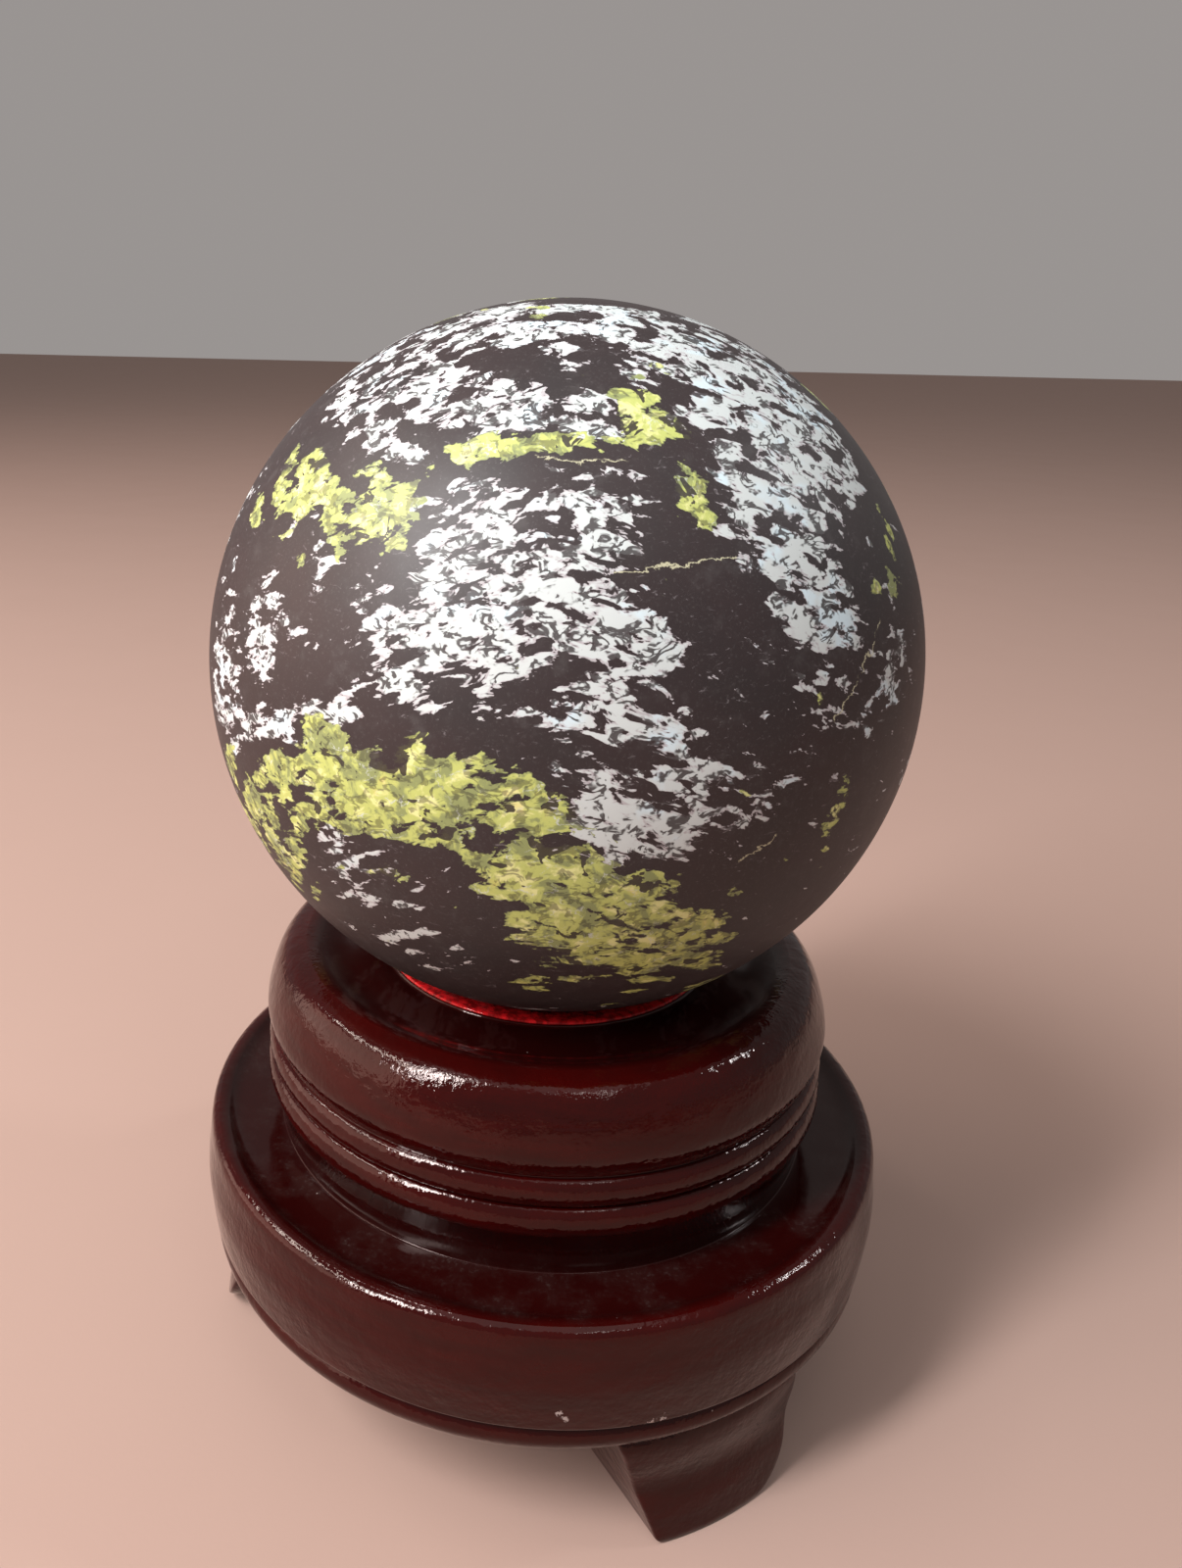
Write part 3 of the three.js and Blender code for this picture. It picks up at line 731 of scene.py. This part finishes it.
@dataclass
class StoneBall:
    """The ball, worked out from the box of its solid. Angles are in degrees."""

    node: str = "stone_sphere"
    sides: int = 400
    rows: int = 210
    patch_spread: float = 1.4
    patch_weight: float = 0.86
    patch_limit: float = 0.97
    vein_reach: float = 1.6
    # Behind, where no patch is chosen, seeded ones gather in clusters.
    seed: int = 7
    hidden_patches: int = 560
    hidden_clusters: int = 54
    cluster_wander: float = 0.12
    patch_wander: float = 0.13
    hidden_length: tuple[float, float] = (1.5, 6.5)
    hidden_slimness: tuple[float, float] = (0.25, 0.6)
    hidden_tilt: float = 30.0
    hidden_strength: tuple[float, float] = (0.75, 1.05)
    view: tuple[float, float] = (0.0, 15.0)
    seen_cap: float = 66.0
    finish: PolishedStone = field(default_factory=PolishedStone)

    def __post_init__(self) -> None:
        """Reads the ball's centre and radius from its solid."""
        low, high = (np.array(corner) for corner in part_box(self.node))
        self.centre = (low + high) / 2
        self.radius = float((high - low).max() / 2)

    def hidden(self, mineral: Mineral) -> np.ndarray:
        """The seeded patches of one mineral, where the chosen ones don't reach.

        They gather in clusters, spread evenly by the golden angle g: cluster i is at height 1 - 2 i / n and
        azimuth g i.

        Args:
            mineral: which mineral.

        Returns:
            One row per patch: azimuth, elevation, half-length, half-width, tilt and strength.
        """
        pale = mineral is Mineral.PALE
        draw = np.random.default_rng(self.seed if pale else self.seed + 1)
        count = self.hidden_patches if pale else self.hidden_patches // 2
        order = np.arange(self.hidden_clusters) + 0.5
        height = 1.0 - 2.0 * order / self.hidden_clusters
        clusters = directions(order * GOLDEN_ANGLE, np.degrees(np.arcsin(height)))
        clusters += draw.normal(scale=self.cluster_wander, size=clusters.shape)
        home = clusters[draw.integers(0, len(clusters), count)]
        way = home + draw.normal(scale=self.patch_wander, size=(count, 3))
        way /= np.linalg.norm(way, axis=1, keepdims=True)
        length = draw.uniform(*self.hidden_length, count)
        width = length * draw.uniform(*self.hidden_slimness, count)
        tilt = draw.normal(0.0, self.hidden_tilt, count)
        strength = draw.uniform(*self.hidden_strength, count)
        azimuth = np.degrees(np.arctan2(way[:, 0], -way[:, 1]))
        elevation = np.degrees(np.arcsin(way[:, 2]))
        from_front = np.degrees(np.arccos(np.clip(way @ directions(*self.view), -1, 1)))
        rows = np.stack([azimuth, elevation, length, width, tilt, strength], axis=-1)
        return rows[from_front > self.seen_cap + length]

    def field_of(self, way: np.ndarray, mineral: Mineral) -> np.ndarray:
        """How much of a mineral there is in each direction.

        A patch adds its strength times a bell over an ellipse: exp(-((u / length)^2 + (w / width)^2)^1.5) in
        the degrees u along and w across its long axis. The patches join as 1 - (1 - a)(1 - b).

        Args:
            way: unit vectors.
            mineral: which mineral.

        Returns:
            One number for each vector, 0 for none.
        """
        chosen = np.array(PALE_PATCHES if mineral is Mineral.PALE else GREEN_PATCHES)
        patches = np.concatenate([chosen, self.hidden(mineral)])
        left = np.ones(len(way))
        for azimuth, elevation, length, width, tilt, strength in patches:
            out = directions(azimuth, elevation)
            east = directions(azimuth + 90.0, 0.0)
            north = np.cross(out, east) * -1.0
            near = way @ out > math.cos(math.radians(PATCH_REACH * length + 2.0))
            there = way[near]
            u, w = np.degrees(there @ east), np.degrees(there @ north)
            turn = math.radians(tilt)
            along = (u * math.cos(turn) + w * math.sin(turn)) / (length * self.patch_spread)
            across = (w * math.cos(turn) - u * math.sin(turn)) / (width * self.patch_spread)
            bell = np.exp(-((along**2 + across**2) ** 1.5))
            left[near] *= 1.0 - np.clip(self.patch_weight * strength * bell, 0.0, self.patch_limit)
        return 1.0 - left

    def vein_fields(self, way: np.ndarray) -> dict[Vein, np.ndarray]:
        """Where each direction lies from the veins.

        The offset is the signed distance p . n to the nearest run's great circle, whose normal is n, so that
        it passes evenly through 0 on the vein. The run falls from 1 near a vein to 0 at its reach.

        Args:
            way: unit vectors.

        Returns:
            The offset in degrees and the run, by kind.
        """
        nearest = np.full(len(way), 90.0)
        offset = np.full(len(way), 90.0)
        for run in VEINS:
            knots = directions(*np.array(run).T)
            for a, b in zip(knots[:-1], knots[1:]):
                side = b - a
                t = np.clip(((way - a) @ side) / (side @ side), 0.0, 1.0)
                away = np.degrees(np.linalg.norm(way - a - t[:, None] * side, axis=1))
                normal = np.cross(a, b) / np.linalg.norm(np.cross(a, b))
                closer = away < nearest
                nearest[closer] = away[closer]
                offset[closer] = np.degrees(way[closer] @ normal)
        return {Vein.OFFSET: offset, Vein.RUN: np.clip(self.vein_reach - nearest, 0.0, 1.0)}

    def build(self) -> bpy.types.Object:
        """Builds and dresses the ball.

        The surface is centre + radius * (cos e sin a, -cos e cos a, sin e) over azimuth a and elevation e.

        Returns:
            The ball.
        """
        elevation = np.linspace(-90.0, 90.0, self.rows + 1)[1:-1]
        azimuth = np.linspace(0.0, 360.0, self.sides, endpoint=False)
        e, a = np.meshgrid(elevation, azimuth, indexing="ij")
        way, quads, triangles = capped(directions(a, e), (0.0, 0.0, -1.0), (0.0, 0.0, 1.0))
        ball = piece_from("mottled_stone_ball", self.centre + self.radius * way, quads, triangles)
        for mineral in Mineral:
            store(ball, mineral.value, self.field_of(way, mineral))
        for vein, values in self.vein_fields(way).items():
            store(ball, vein.value, values)
        ball.data.materials.append(self.finish.material())
        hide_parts(self.node)
        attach(ball, "root")
        LOG.info("ball: radius %.1f mm, %d points", self.radius / MM, len(way))
        return ball


# ---------------------------------------------------------------------------------------------
# The turned stand
# ---------------------------------------------------------------------------------------------


class Tone(Enum):
    """How much a point of the stand is of each kind, from 0 to 1."""

    # Marks the painted glow on the seat's raised edge.
    LIP = "lip"
    # Marks painted shade: hollows darkened where shade falls.
    PAINTED_SHADE = "painted_shade"
    DUST = "dust"
    WORN = "worn"


@dataclass(frozen=True)
class Chip:
    """A small chip in the lacquer: azimuth in degrees, radius, height and size in millimetres."""

    azimuth: float
    radius: float
    height: float
    size: float

    def spot(self) -> tuple[float, float, float]:
        """The chip's place in millimetres."""
        a = math.radians(self.azimuth)
        return self.radius * math.sin(a), -self.radius * math.cos(a), self.height


@dataclass(frozen=True)
class RedLacquer:
    """The finish of the stand: a deep red lacquer, glossy, with orange peel, nibs that are partly painted
    glints, dust, and painted shade in its grooves and hollows.
    """

    body: Colour = (0.030, 0.0007, 0.0005)
    # The dark red of the grain, also laid on grooves, hollows and the dish as painted shade.
    deep: Colour = (0.012, 0.0010, 0.0009)
    # Painted glow: a bright red for the seat's raised edge, far brighter than the lacquer, standing in for
    # light caught there.
    lip: Colour = (0.66, 0.012, 0.016)
    dust: Colour = (0.085, 0.072, 0.066)
    # Pale specks for dust nibs and chips, partly a painted glint where they would catch the light.
    nib_and_glint: Colour = (0.50, 0.42, 0.40)
    roughness: float = 0.05
    mirror: float = 0.30
    mirror_tint: Colour = (1.0, 0.84, 0.80)
    ior: float = 1.5
    # Depths in millimetres of the orange peel, the finer ripple and the crinkle of the worn edges.
    peel_depth: float = 0.18
    ripple_depth: float = 0.10
    crinkle_depth: float = 0.14
    relief: float = 0.6
    chips: tuple[Chip, ...] = (
        Chip(19.6, 42.4, 19.7, 0.44),
        Chip(18.0, 42.3, 19.3, 0.32),
        Chip(6.0, 42.6, 21.0, 0.28),
        Chip(5.2, 42.7, 21.7, 0.25),
    )

    def chipping(self, s: Shader, where: Socket, ragged: Socket) -> Socket:
        """A mask of the small chips: 1 within a ragged spot of each chip's size.

        Args:
            s: the shader.
            where: the place in millimetres.
            ragged: noise that roughens the spots.

        Returns:
            The mask.
        """
        mask = None
        for chip in self.chips:
            ends = {0: where, 1: chip.spot()}
            away = s.node("ShaderNodeVectorMath", {"operation": "DISTANCE"}, ends, "Value")
            one = 1.0 - (away + (ragged - 0.5).either(-0.12) * 3.2).step(chip.size * 0.5, chip.size)
            mask = one if mask is None else mask.either(one)
        return mask

    def material(self) -> bpy.types.Material:
        """Builds the lacquer from the tone fields stored on the stand.

        Returns:
            The finished material.
        """
        s = Shader("red_lacquer")
        even = s.place()
        lip, painted_shade, dust, worn = (s.attribute(tone.value) for tone in Tone)
        grain = s.noise(s.place((0.25, 0.25, 1.4)), 2.6, 4.0, 0.6, 0.4)
        cloud = s.noise(even, 5.0, 5.0, 0.6)
        specks = s.noise(even, 0.6, 4.0, 0.75)
        streaks = s.noise(s.place((1.0, 1.0, 0.3)), 0.8, 4.0, 0.65).step(0.38, 0.62)
        film = dust * cloud.step(0.42, 0.66) * (specks.step(0.50, 0.72) * 0.16 + 0.04)
        rare = s.noise(s.place(offset=(9.0, 9.0, 9.0)), 4.0, 2.0).step(0.56, 0.6)
        nib_and_glint = (1.0 - s.cells(even, 3.2).step(0.015, 0.035)) * rare
        chip = self.chipping(s, even, specks) * 0.8

        colour = s.mix((grain * 1.5 - 0.25).clip(), self.deep, self.body)
        # Painted shade: the hollows, the dish and the neck's foot are darkened towards the deep red.
        colour = s.mix(painted_shade, colour, self.deep)
        # Painted glow: the seat's raised edge is coloured bright red in streaks, standing in for light on it.
        colour = s.mix(lip * (streaks * 0.75 + 0.25), colour, self.lip)
        colour = s.mix(film, colour, self.dust)
        # Pale specks at dust nibs and chips: real marks, painted in part as glints.
        colour = s.mix(nib_and_glint.either(chip) * 0.8, colour, self.nib_and_glint)
        rough = (cloud - 0.5) * 0.05 + film * 0.9 + chip * 0.3 + painted_shade * 0.06 + self.roughness

        calm = 1.0 - painted_shade * 1.05
        peel = s.noise(s.place((0.8, 0.8, 1.1)), 1.7, 2.0, 0.5)
        ripple = s.noise(even, 0.5, 2.0, 0.5) * (cloud.step(0.35, 0.65) * 0.8 + 0.2)
        crinkle = s.noise(even, 0.8, 3.0, 0.6) * worn
        normal = s.bump(peel * calm, self.relief, self.peel_depth * MM)
        normal = s.bump((ripple + nib_and_glint * 0.4) * calm, self.relief, self.ripple_depth * MM, normal)
        normal = s.bump(crinkle, self.relief, self.crinkle_depth * MM, normal)
        tint = (*self.mirror_tint, 1.0)
        fixed = {"Specular IOR Level": self.mirror, "Specular Tint": tint, "IOR": self.ior}
        return s.finish(colour, rough, normal, fixed)


@dataclass(frozen=True)
class Band:
    """A stretch of the turned outline: [radius, height] points, and its share of three of the tones."""

    points: np.ndarray
    # Share of the painted glow.
    lip: float = 0.0
    # Share of the painted shade.
    painted_shade: float = 0.0
    dust: float = 0.0


@dataclass
class TurnedStand:
    """The stand, one turning with its feet sawn from the foot ring. Radii and heights are in millimetres."""

    node: str = "turned_stand"
    sides: int = 288
    sphere_radius: float = 40.0
    seat_radius: float = 18.0
    seat_height: float = 52.79
    seat_gap: float = 0.3
    base_radius: float = 42.7
    base_widest: float = 24.7
    crest_radius: float = 41.2
    crest: float = 31.3
    step_radius: float = 42.0
    step_top: float = 18.6
    recess: float = 30.7
    neck_radius: float = 33.2
    bead_radius: float = 34.8
    bead_half_width: float = 1.1
    bead_bottom: float = 35.7
    bead_split: float = 39.4
    bead_top: float = 42.8
    cup_radius: float = 34.7
    cup_widest: float = 45.9
    rim_radius: float = 29.8
    rim: float = 53.1
    dish: float = 51.8
    lip_radius: float = 20.0
    lip_rounding: float = 0.3
    wear_breadth: float = 1.4
    foot_count: int = 3
    foot_turn: float = 33.2
    foot_height: float = 14.8
    foot_left_top: float = 13.5
    foot_left_sole: float = 8.3
    foot_left_corner: float = 0.7
    foot_right_top: float = 12.1
    foot_right_knee: float = 11.3
    foot_right_knee_height: float = 8.5
    foot_right_sole: float = 2.6
    foot_outline_top: float = 16.8
    foot_inner_radius: float = 24.0
    foot_sole_radius: float = 41.2
    foot_root: float = 0.8
    foot_fine_height: float = 3.2
    foot_edge: float = 0.5
    foot_rounding: tuple[float, float] = (0.03, 0.05)
    finish: RedLacquer = field(default_factory=RedLacquer)

    def base_bands(self) -> list[Band]:
        """The underside, the step ring, the base's wall and crest, the recess and the foot of the neck.

        Returns:
            The bands, from the underside's centre up.
        """
        step_middle = (self.foot_height + self.step_top) / 2 + 0.4
        step_half = (self.step_top - self.foot_height) / 2 + 0.4
        wall = [
            [self.step_radius + 0.3, self.step_top + 0.6],
            [self.base_radius - 0.15, (self.step_top + self.base_widest) / 2],
            [self.base_radius, self.base_widest],
            [self.base_radius - 0.35, self.base_widest + 3.4],
            [self.crest_radius + 0.8, self.crest - 0.75],
            [self.crest_radius, self.crest],
        ]
        recess = [
            [self.crest_radius - 1.2, self.crest - 0.1],
            [self.crest_radius - 2.6, self.recess - 0.1],
            [self.neck_radius + 2.6, self.recess - 0.25],
            [self.neck_radius + 1.0, self.recess - 0.28],
            [self.neck_radius + 0.06, self.recess - 0.28],
        ]
        under = [[0.0, self.foot_height], [self.step_radius - 1.7, self.foot_height]]
        neck = [[self.neck_radius, self.recess - 0.22], [self.neck_radius, self.recess + 0.5]]
        return [
            # Painted shade: this share darkens the underside, the step ring, the recess and the neck's foot,
            # where shade falls.
            Band(through(under, 12), painted_shade=0.4, dust=0.3),
            Band(arc((self.step_radius - 3, step_middle), (3.0, step_half), -60, 74, 20), painted_shade=0.1),
            Band(through(wall, 56)),
            Band(through(recess, 36), painted_shade=0.85, dust=1.0),
            Band(through(neck, 3), painted_shade=1.0, dust=0.5),
        ]

    def bead(self, middle_radius: float, low: float, high: float, steps: int) -> np.ndarray:
        """A half-round bead between two heights: an ellipse's arc from straight down to straight up."""
        half = (self.bead_half_width, (high - low) / 2)
        return arc((middle_radius, (low + high) / 2), half, -90, 90, steps)

    def cup_bands(self) -> list[Band]:
        """The two beads, the cup's wall up to its rim, and the dish inside it.

        Returns:
            The bands, from the lower bead up and in.
        """
        wall = [
            [self.cup_radius - 0.7, self.bead_top + 0.5],
            [self.cup_radius, self.cup_widest],
            [self.cup_radius - 1.1, self.rim - 3],
            [self.rim_radius + 2.2, self.rim - 0.7],
            [self.rim_radius, self.rim],
        ]
        dish = [
            [self.rim_radius - 1.6, self.rim - 0.35],
            [(self.rim_radius + self.lip_radius) / 2, self.dish],
            [self.lip_radius + 0.5, self.dish + 0.1],
        ]
        return [
            Band(self.bead(self.bead_radius - 1.1, self.bead_bottom, self.bead_split, 24)),
            Band(self.bead(self.bead_radius - 1.3, self.bead_split, self.bead_top, 22)[1:]),
            Band(through(wall, 44)),
            # Painted shade and reflection: the dish is darkened in full, standing in for the ball's shade and
            # dark mirror image on it.
            Band(through(dish, 18), painted_shade=1.0, dust=0.3),
        ]

    def seat_bands(self) -> list[Band]:
        """The seat's raised edge and the hollow under the ball, which lies a hair's breadth outside it; both
        carry the painted glow.

        Returns:
            The bands, from the raised edge's wall in to the axis.
        """
        top = self.seat_height - self.seat_gap
        easing = self.lip_rounding
        ball_centre = self.seat_height + math.sqrt(self.sphere_radius**2 - self.seat_radius**2)
        hollow = self.sphere_radius + self.seat_gap
        edge = -math.degrees(math.acos(self.seat_radius / hollow))
        wall = [[self.lip_radius, self.dish + 0.2], [self.lip_radius, top - 0.32]]
        return [
            Band(through(wall, 4)),
            # Painted glow on the rounded top of the seat's edge and on the hidden hollow.
            Band(arc((self.lip_radius - easing, top - easing), (easing, easing), 10, 90, 5), lip=1.0),
            Band(arc((0.0, ball_centre), (hollow, hollow), edge, -90, 16), lip=1.0),
        ]

    def outline(self) -> tuple[np.ndarray, np.ndarray]:
        """The turned outline from the underside's centre up to the hollow's centre, with its tones.

        An edge at height e wears as exp(-((z - e) / breadth)^2).

        Returns:
            The [radius, height] points, and for each point its share of each Tone, in order.
        """
        bands = self.base_bands() + self.cup_bands() + self.seat_bands()
        points = np.concatenate([band.points for band in bands])
        shares = [np.tile([band.lip, band.painted_shade, band.dust], (len(band.points), 1)) for band in bands]
        tones = np.concatenate(shares)
        points[-1, 0] = 0.0
        outside = (points[:, 0] > self.rim_radius) & (tones[:, 2] == 0)
        edges = ((self.rim - 2.0, 1.0), (self.bead_top - 1.2, 0.5), (self.crest - 0.5, 0.45))
        heights = points[:, 1]
        worn = sum(share * np.exp(-(((heights - edge) / self.wear_breadth) ** 2)) for edge, share in edges)
        return points, np.column_stack([tones, worn * outside])

    def body(self) -> tuple[np.ndarray, np.ndarray, np.ndarray, np.ndarray]:
        """The turned body: the point (r cos t, r sin t, z) for each outline point and each turn t.

        Returns:
            The points in millimetres, the quads, the triangles, and the tones of each point.
        """
        outline, tones = self.outline()
        inner = outline[1:-1]
        turn = np.linspace(0.0, 2 * math.pi, self.sides, endpoint=False)
        r, z = inner[:, :1], np.repeat(inner[:, 1:], self.sides, axis=1)
        rings = np.stack([r * np.cos(turn), r * np.sin(turn), z], axis=-1)
        ends = [(0.0, 0.0, outline[end, 1]) for end in (0, -1)]
        spread = np.concatenate([np.repeat(tones[1:-1], self.sides, axis=0), tones[[0, -1]]])
        return *capped(rings, *ends), spread

    def foot_sides(self, heights: np.ndarray) -> tuple[np.ndarray, np.ndarray]:
        """How far a foot reaches to its left and right of its middle at each height.

        The left side is straight down to a small corner. The right side is straight down to its knee and then
        a quadratic curve to the sole: (1 - t)^2 A + 2 t (1 - t) B + t^2 C.

        Args:
            heights: the heights above the floor.

        Returns:
            The reach to the left and to the right.
        """
        corner, knee, sole = self.foot_left_corner, self.foot_right_knee, self.foot_right_sole
        left_z = [0.0, corner, self.foot_outline_top]
        left_reach = [self.foot_left_sole - corner, self.foot_left_sole, self.foot_left_top]
        t = np.linspace(0.0, 1.0, 25)
        curve_z = self.foot_right_knee_height * t**2
        curve = (1 - t) ** 2 * sole + 2 * t * (1 - t) * (knee - 1) + t**2 * knee
        right_z = np.append(curve_z, self.foot_outline_top)
        right_reach = np.append(curve, self.foot_right_top)
        return np.interp(heights, left_z, left_reach), np.interp(heights, right_z, right_reach)

    def rounded_square(self) -> tuple[np.ndarray, np.ndarray]:
        """The outline of a square from -1 to 1 with slightly rounded corners, run anticlockwise.

        Returns:
            The first and the second coordinate of its points.
        """
        a, b = self.foot_rounding
        turns = np.radians(np.linspace(0.0, 90.0, 6))
        runs = []
        corners = ((1, 1, 0, 28), (-1, 1, 90, 12), (-1, -1, 180, 28), (1, -1, 270, 12))
        for sign_p, sign_q, start, count in corners:
            angle = turns + math.radians(start)
            p = sign_p * (1 - a) + a * np.cos(angle)
            q = sign_q * (1 - b) + b * np.sin(angle)
            corner = np.stack([p, q], axis=-1)
            if sign_p * sign_q > 0:
                far = np.array([-sign_p * (1 - a), corner[-1, 1]])
            else:
                far = np.array([corner[-1, 0], -sign_q * (1 - b)])
            steps = np.linspace(0.0, 1.0, count + 1)[1:-1, None]
            runs += [corner, corner[-1] + steps * (far - corner[-1])]
        loop = np.concatenate(runs)
        return loop[:, 0], loop[:, 1]

    def foot_front(self) -> np.ndarray:
        """The ogee that a foot's front is turned to.

        Returns:
            Its [radius, height] points, from the sole up.
        """
        ogee = [
            [self.foot_sole_radius, 0.8],
            [self.foot_sole_radius - 0.5, self.foot_height * 0.27],
            [self.foot_sole_radius - 1.3, self.foot_height * 0.5],
            [self.foot_sole_radius - 0.9, self.foot_height * 0.76],
            [self.foot_sole_radius - 1, self.foot_height * 0.9],
            [self.foot_sole_radius - 1.8, self.foot_height],
        ]
        return through(ogee, 60)

    def foot(self, turn: float) -> tuple[np.ndarray, np.ndarray, np.ndarray]:
        """One foot, lofted upwards from its sole.

        At each height the section is a square with rounded corners, (p, q) from -1 to 1. Across the foot the
        point runs from its left reach to its right reach as p grows. Outwards it lies between the bore and
        the ogee front, both of them arcs about the stand's axis. A quarter round eases the sole's edge.

        Args:
            turn: the foot's azimuth in degrees.

        Returns:
            The points in millimetres, the quads and the triangles.
        """
        eased = 1.0 - np.cos(np.linspace(0.0, math.pi / 2, 14))
        straight = np.linspace(self.foot_fine_height, self.foot_height + self.foot_root, 34)
        heights = np.concatenate([self.foot_fine_height * eased, straight[1:]])
        low = np.clip(self.foot_edge - heights, 0.0, self.foot_edge)
        ease = self.foot_edge - np.sqrt(self.foot_edge**2 - low**2)
        ogee = self.foot_front()
        front = np.interp(heights, ogee[:, 1], ogee[:, 0]) - ease
        inner = self.foot_inner_radius + ease
        left, right = self.foot_sides(heights)
        p, q = self.rounded_square()
        across = (right - left)[:, None] / 2 + (right + left)[:, None] / 2 * p[None, :]
        near = np.sqrt(inner[:, None] ** 2 - across**2)
        far = np.sqrt(front[:, None] ** 2 - across**2)
        out = near + (far - near) * (q[None, :] + 1) / 2
        a = math.radians(turn)
        x = out * math.sin(a) + across * math.cos(a)
        y = -out * math.cos(a) + across * math.sin(a)
        z = np.repeat(heights[:, None], len(p), axis=1)
        rings = np.stack([x, y, z], axis=-1)[:, ::-1]
        return capped(rings, rings[0].mean(axis=0), rings[-1].mean(axis=0))

    def build(self) -> bpy.types.Object:
        """Builds and dresses the stand.

        Returns:
            The stand.
        """
        points, quads, triangles, tones = self.body()
        for index in range(self.foot_count):
            more, four, three = self.foot(self.foot_turn + index * 360.0 / self.foot_count)
            quads = np.concatenate([quads, four + len(points)])
            triangles = np.concatenate([triangles, three + len(points)])
            points = np.concatenate([points, more])
            tones = np.concatenate([tones, np.zeros((len(more), len(Tone)))])
        stand = piece_from("lacquered_stand", points * MM, quads, triangles)
        for tone, values in zip(Tone, tones.T):
            store(stand, tone.value, values)
        stand.data.materials.append(self.finish.material())
        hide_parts(self.node)
        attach(stand, "root")
        LOG.info("stand: %d points", len(points))
        return stand


# ---------------------------------------------------------------------------------------------
# Floor, light and camera
# ---------------------------------------------------------------------------------------------


@dataclass(frozen=True)
class SoftLight:
    """An oval soft light that faces the ball.

    Its azimuth runs from the front to the right and is in degrees, as its elevation is; its reach, breadth
    and height are in metres. Its power is its face's radiance times pi times the face's area.
    """

    name: str
    azimuth: float
    elevation: float
    reach: float
    breadth: float
    height: float
    radiance: float
    colour: Colour = (1.0, 1.0, 1.0)

    def hang(self, target: Vector) -> None:
        """Puts the light in the scene.

        Args:
            target: the point that it faces.
        """
        data = bpy.data.lights.new(self.name, "AREA")
        data.shape = "ELLIPSE"
        data.size, data.size_y = self.breadth, self.height
        data.energy = self.radiance * math.pi * (math.pi / 4 * self.breadth * self.height)
        data.color = self.colour
        lamp = bpy.data.objects.new(self.name, data)
        out = Vector(directions(self.azimuth, self.elevation))
        lamp.location = target + out * self.reach
        lamp.rotation_mode = "QUATERNION"
        lamp.rotation_quaternion = out.to_track_quat("Z", "Y")
        bpy.context.scene.collection.objects.link(lamp)


@dataclass
class Studio:
    """A plain pale floor, soft lights and the camera. Its lengths are in metres and its angles in degrees."""

    ball: StoneBall
    floor_colour: Colour = (0.36, 0.24, 0.20)
    floor_half: float = 4.0
    world_colour: Colour = (1.0, 0.93, 0.90)
    world_strength: float = 0.32
    # The camera's distance is in radii of the ball, and its lens and sensor are in millimetres.
    distance: float = 3.542
    elevation: float = 15.16
    yaw: float = 4.9
    pitch: float = -2.87
    roll: float = -2.5
    lens: float = 27.68
    sensor: float = 36.0
    shift: tuple[float, float] = (0.0886, -0.0438)
    lights: tuple[SoftLight, ...] = (
        SoftLight("window", -50.0, 50.0, 0.9, 0.34, 0.30, 10.0),
        SoftLight("window_core", -49.0, 40.0, 0.88, 0.13, 0.62, 50.0),
        SoftLight("window_band", -82.0, 44.0, 0.9, 0.9, 0.06, 26.0, (1.0, 0.96, 0.88)),
        SoftLight("side", -82.0, 12.0, 1.3, 1.6, 1.2, 2.6, (1.0, 0.70, 0.58)),
        SoftLight("lamp", 28.0, 52.0, 1.0, 0.22, 0.09, 9.0),
        SoftLight("far_lamp", 101.0, 40.0, 1.0, 0.11, 0.08, 60.0, (0.92, 0.97, 1.0)),
        SoftLight("overhead", 10.0, 80.0, 1.4, 1.3, 1.3, 0.8),
    )

    def floor(self) -> None:
        """A wide, flat, pale floor at the height the feet stand on."""
        half = self.floor_half
        corners = np.array([[-half, -half, 0], [half, -half, 0], [half, half, 0], [-half, half, 0]])
        floor = piece_from("floor", corners, np.array([[0, 1, 2, 3]]), np.zeros((0, 3), dtype=int))
        s = Shader("pale_floor")
        tone = s.noise(s.place(), 40.0, 2.0)
        colour = s.mix(tone, self.floor_colour, tuple(c * 0.97 for c in self.floor_colour))
        weave = s.noise(s.place(), 0.6, 2.0)
        floor.data.materials.append(s.finish(colour, tone * 0.1 + 0.8, s.bump(weave, 0.1, 0.1 * MM), {}))

    def world(self) -> None:
        """A soft, even surround."""
        world = bpy.data.worlds.new("surround")
        world.use_nodes = True
        bpy.context.scene.world = world
        background = world.node_tree.nodes["Background"]
        background.inputs["Color"].default_value = (*self.world_colour, 1.0)
        background.inputs["Strength"].default_value = self.world_strength

    def camera(self) -> None:
        """The camera, a little above the ball and close to it, turned down towards the stand."""
        data = bpy.data.cameras.new("camera")
        data.lens, data.sensor_width = self.lens, self.sensor
        data.shift_x, data.shift_y = self.shift
        data.clip_start, data.clip_end = 0.005, 50.0
        eye = bpy.data.objects.new("camera", data)
        back = Vector(directions(0.0, self.elevation))
        turn = (-back).to_track_quat("-Z", "Y").to_matrix()
        for degrees, axis in ((self.yaw, "Y"), (self.pitch, "X"), (-self.roll, "Z")):
            turn = turn @ Matrix.Rotation(math.radians(degrees), 3, axis)
        place = Vector(self.ball.centre) + back * self.distance * self.ball.radius
        eye.matrix_world = Matrix.Translation(place) @ turn.to_4x4()
        bpy.context.scene.collection.objects.link(eye)
        bpy.context.scene.camera = eye

    def build(self) -> None:
        """Sets up the floor, the surround, the lights and the camera."""
        self.floor()
        self.world()
        for light in self.lights:
            light.hang(Vector(self.ball.centre))
        self.camera()
        LOG.info("studio ready: %d lights", len(self.lights))


def main() -> None:
    """Builds the ball, the stand and the studio in order."""
    logging.basicConfig(level=logging.INFO, format="%(name)s: %(message)s")
    bpy.context.scene.view_settings.view_transform = "Standard"
    ball = StoneBall()
    Studio(ball).build()
    ball.build()
    TurnedStand().build()


if __name__ == "__main__":
    main()
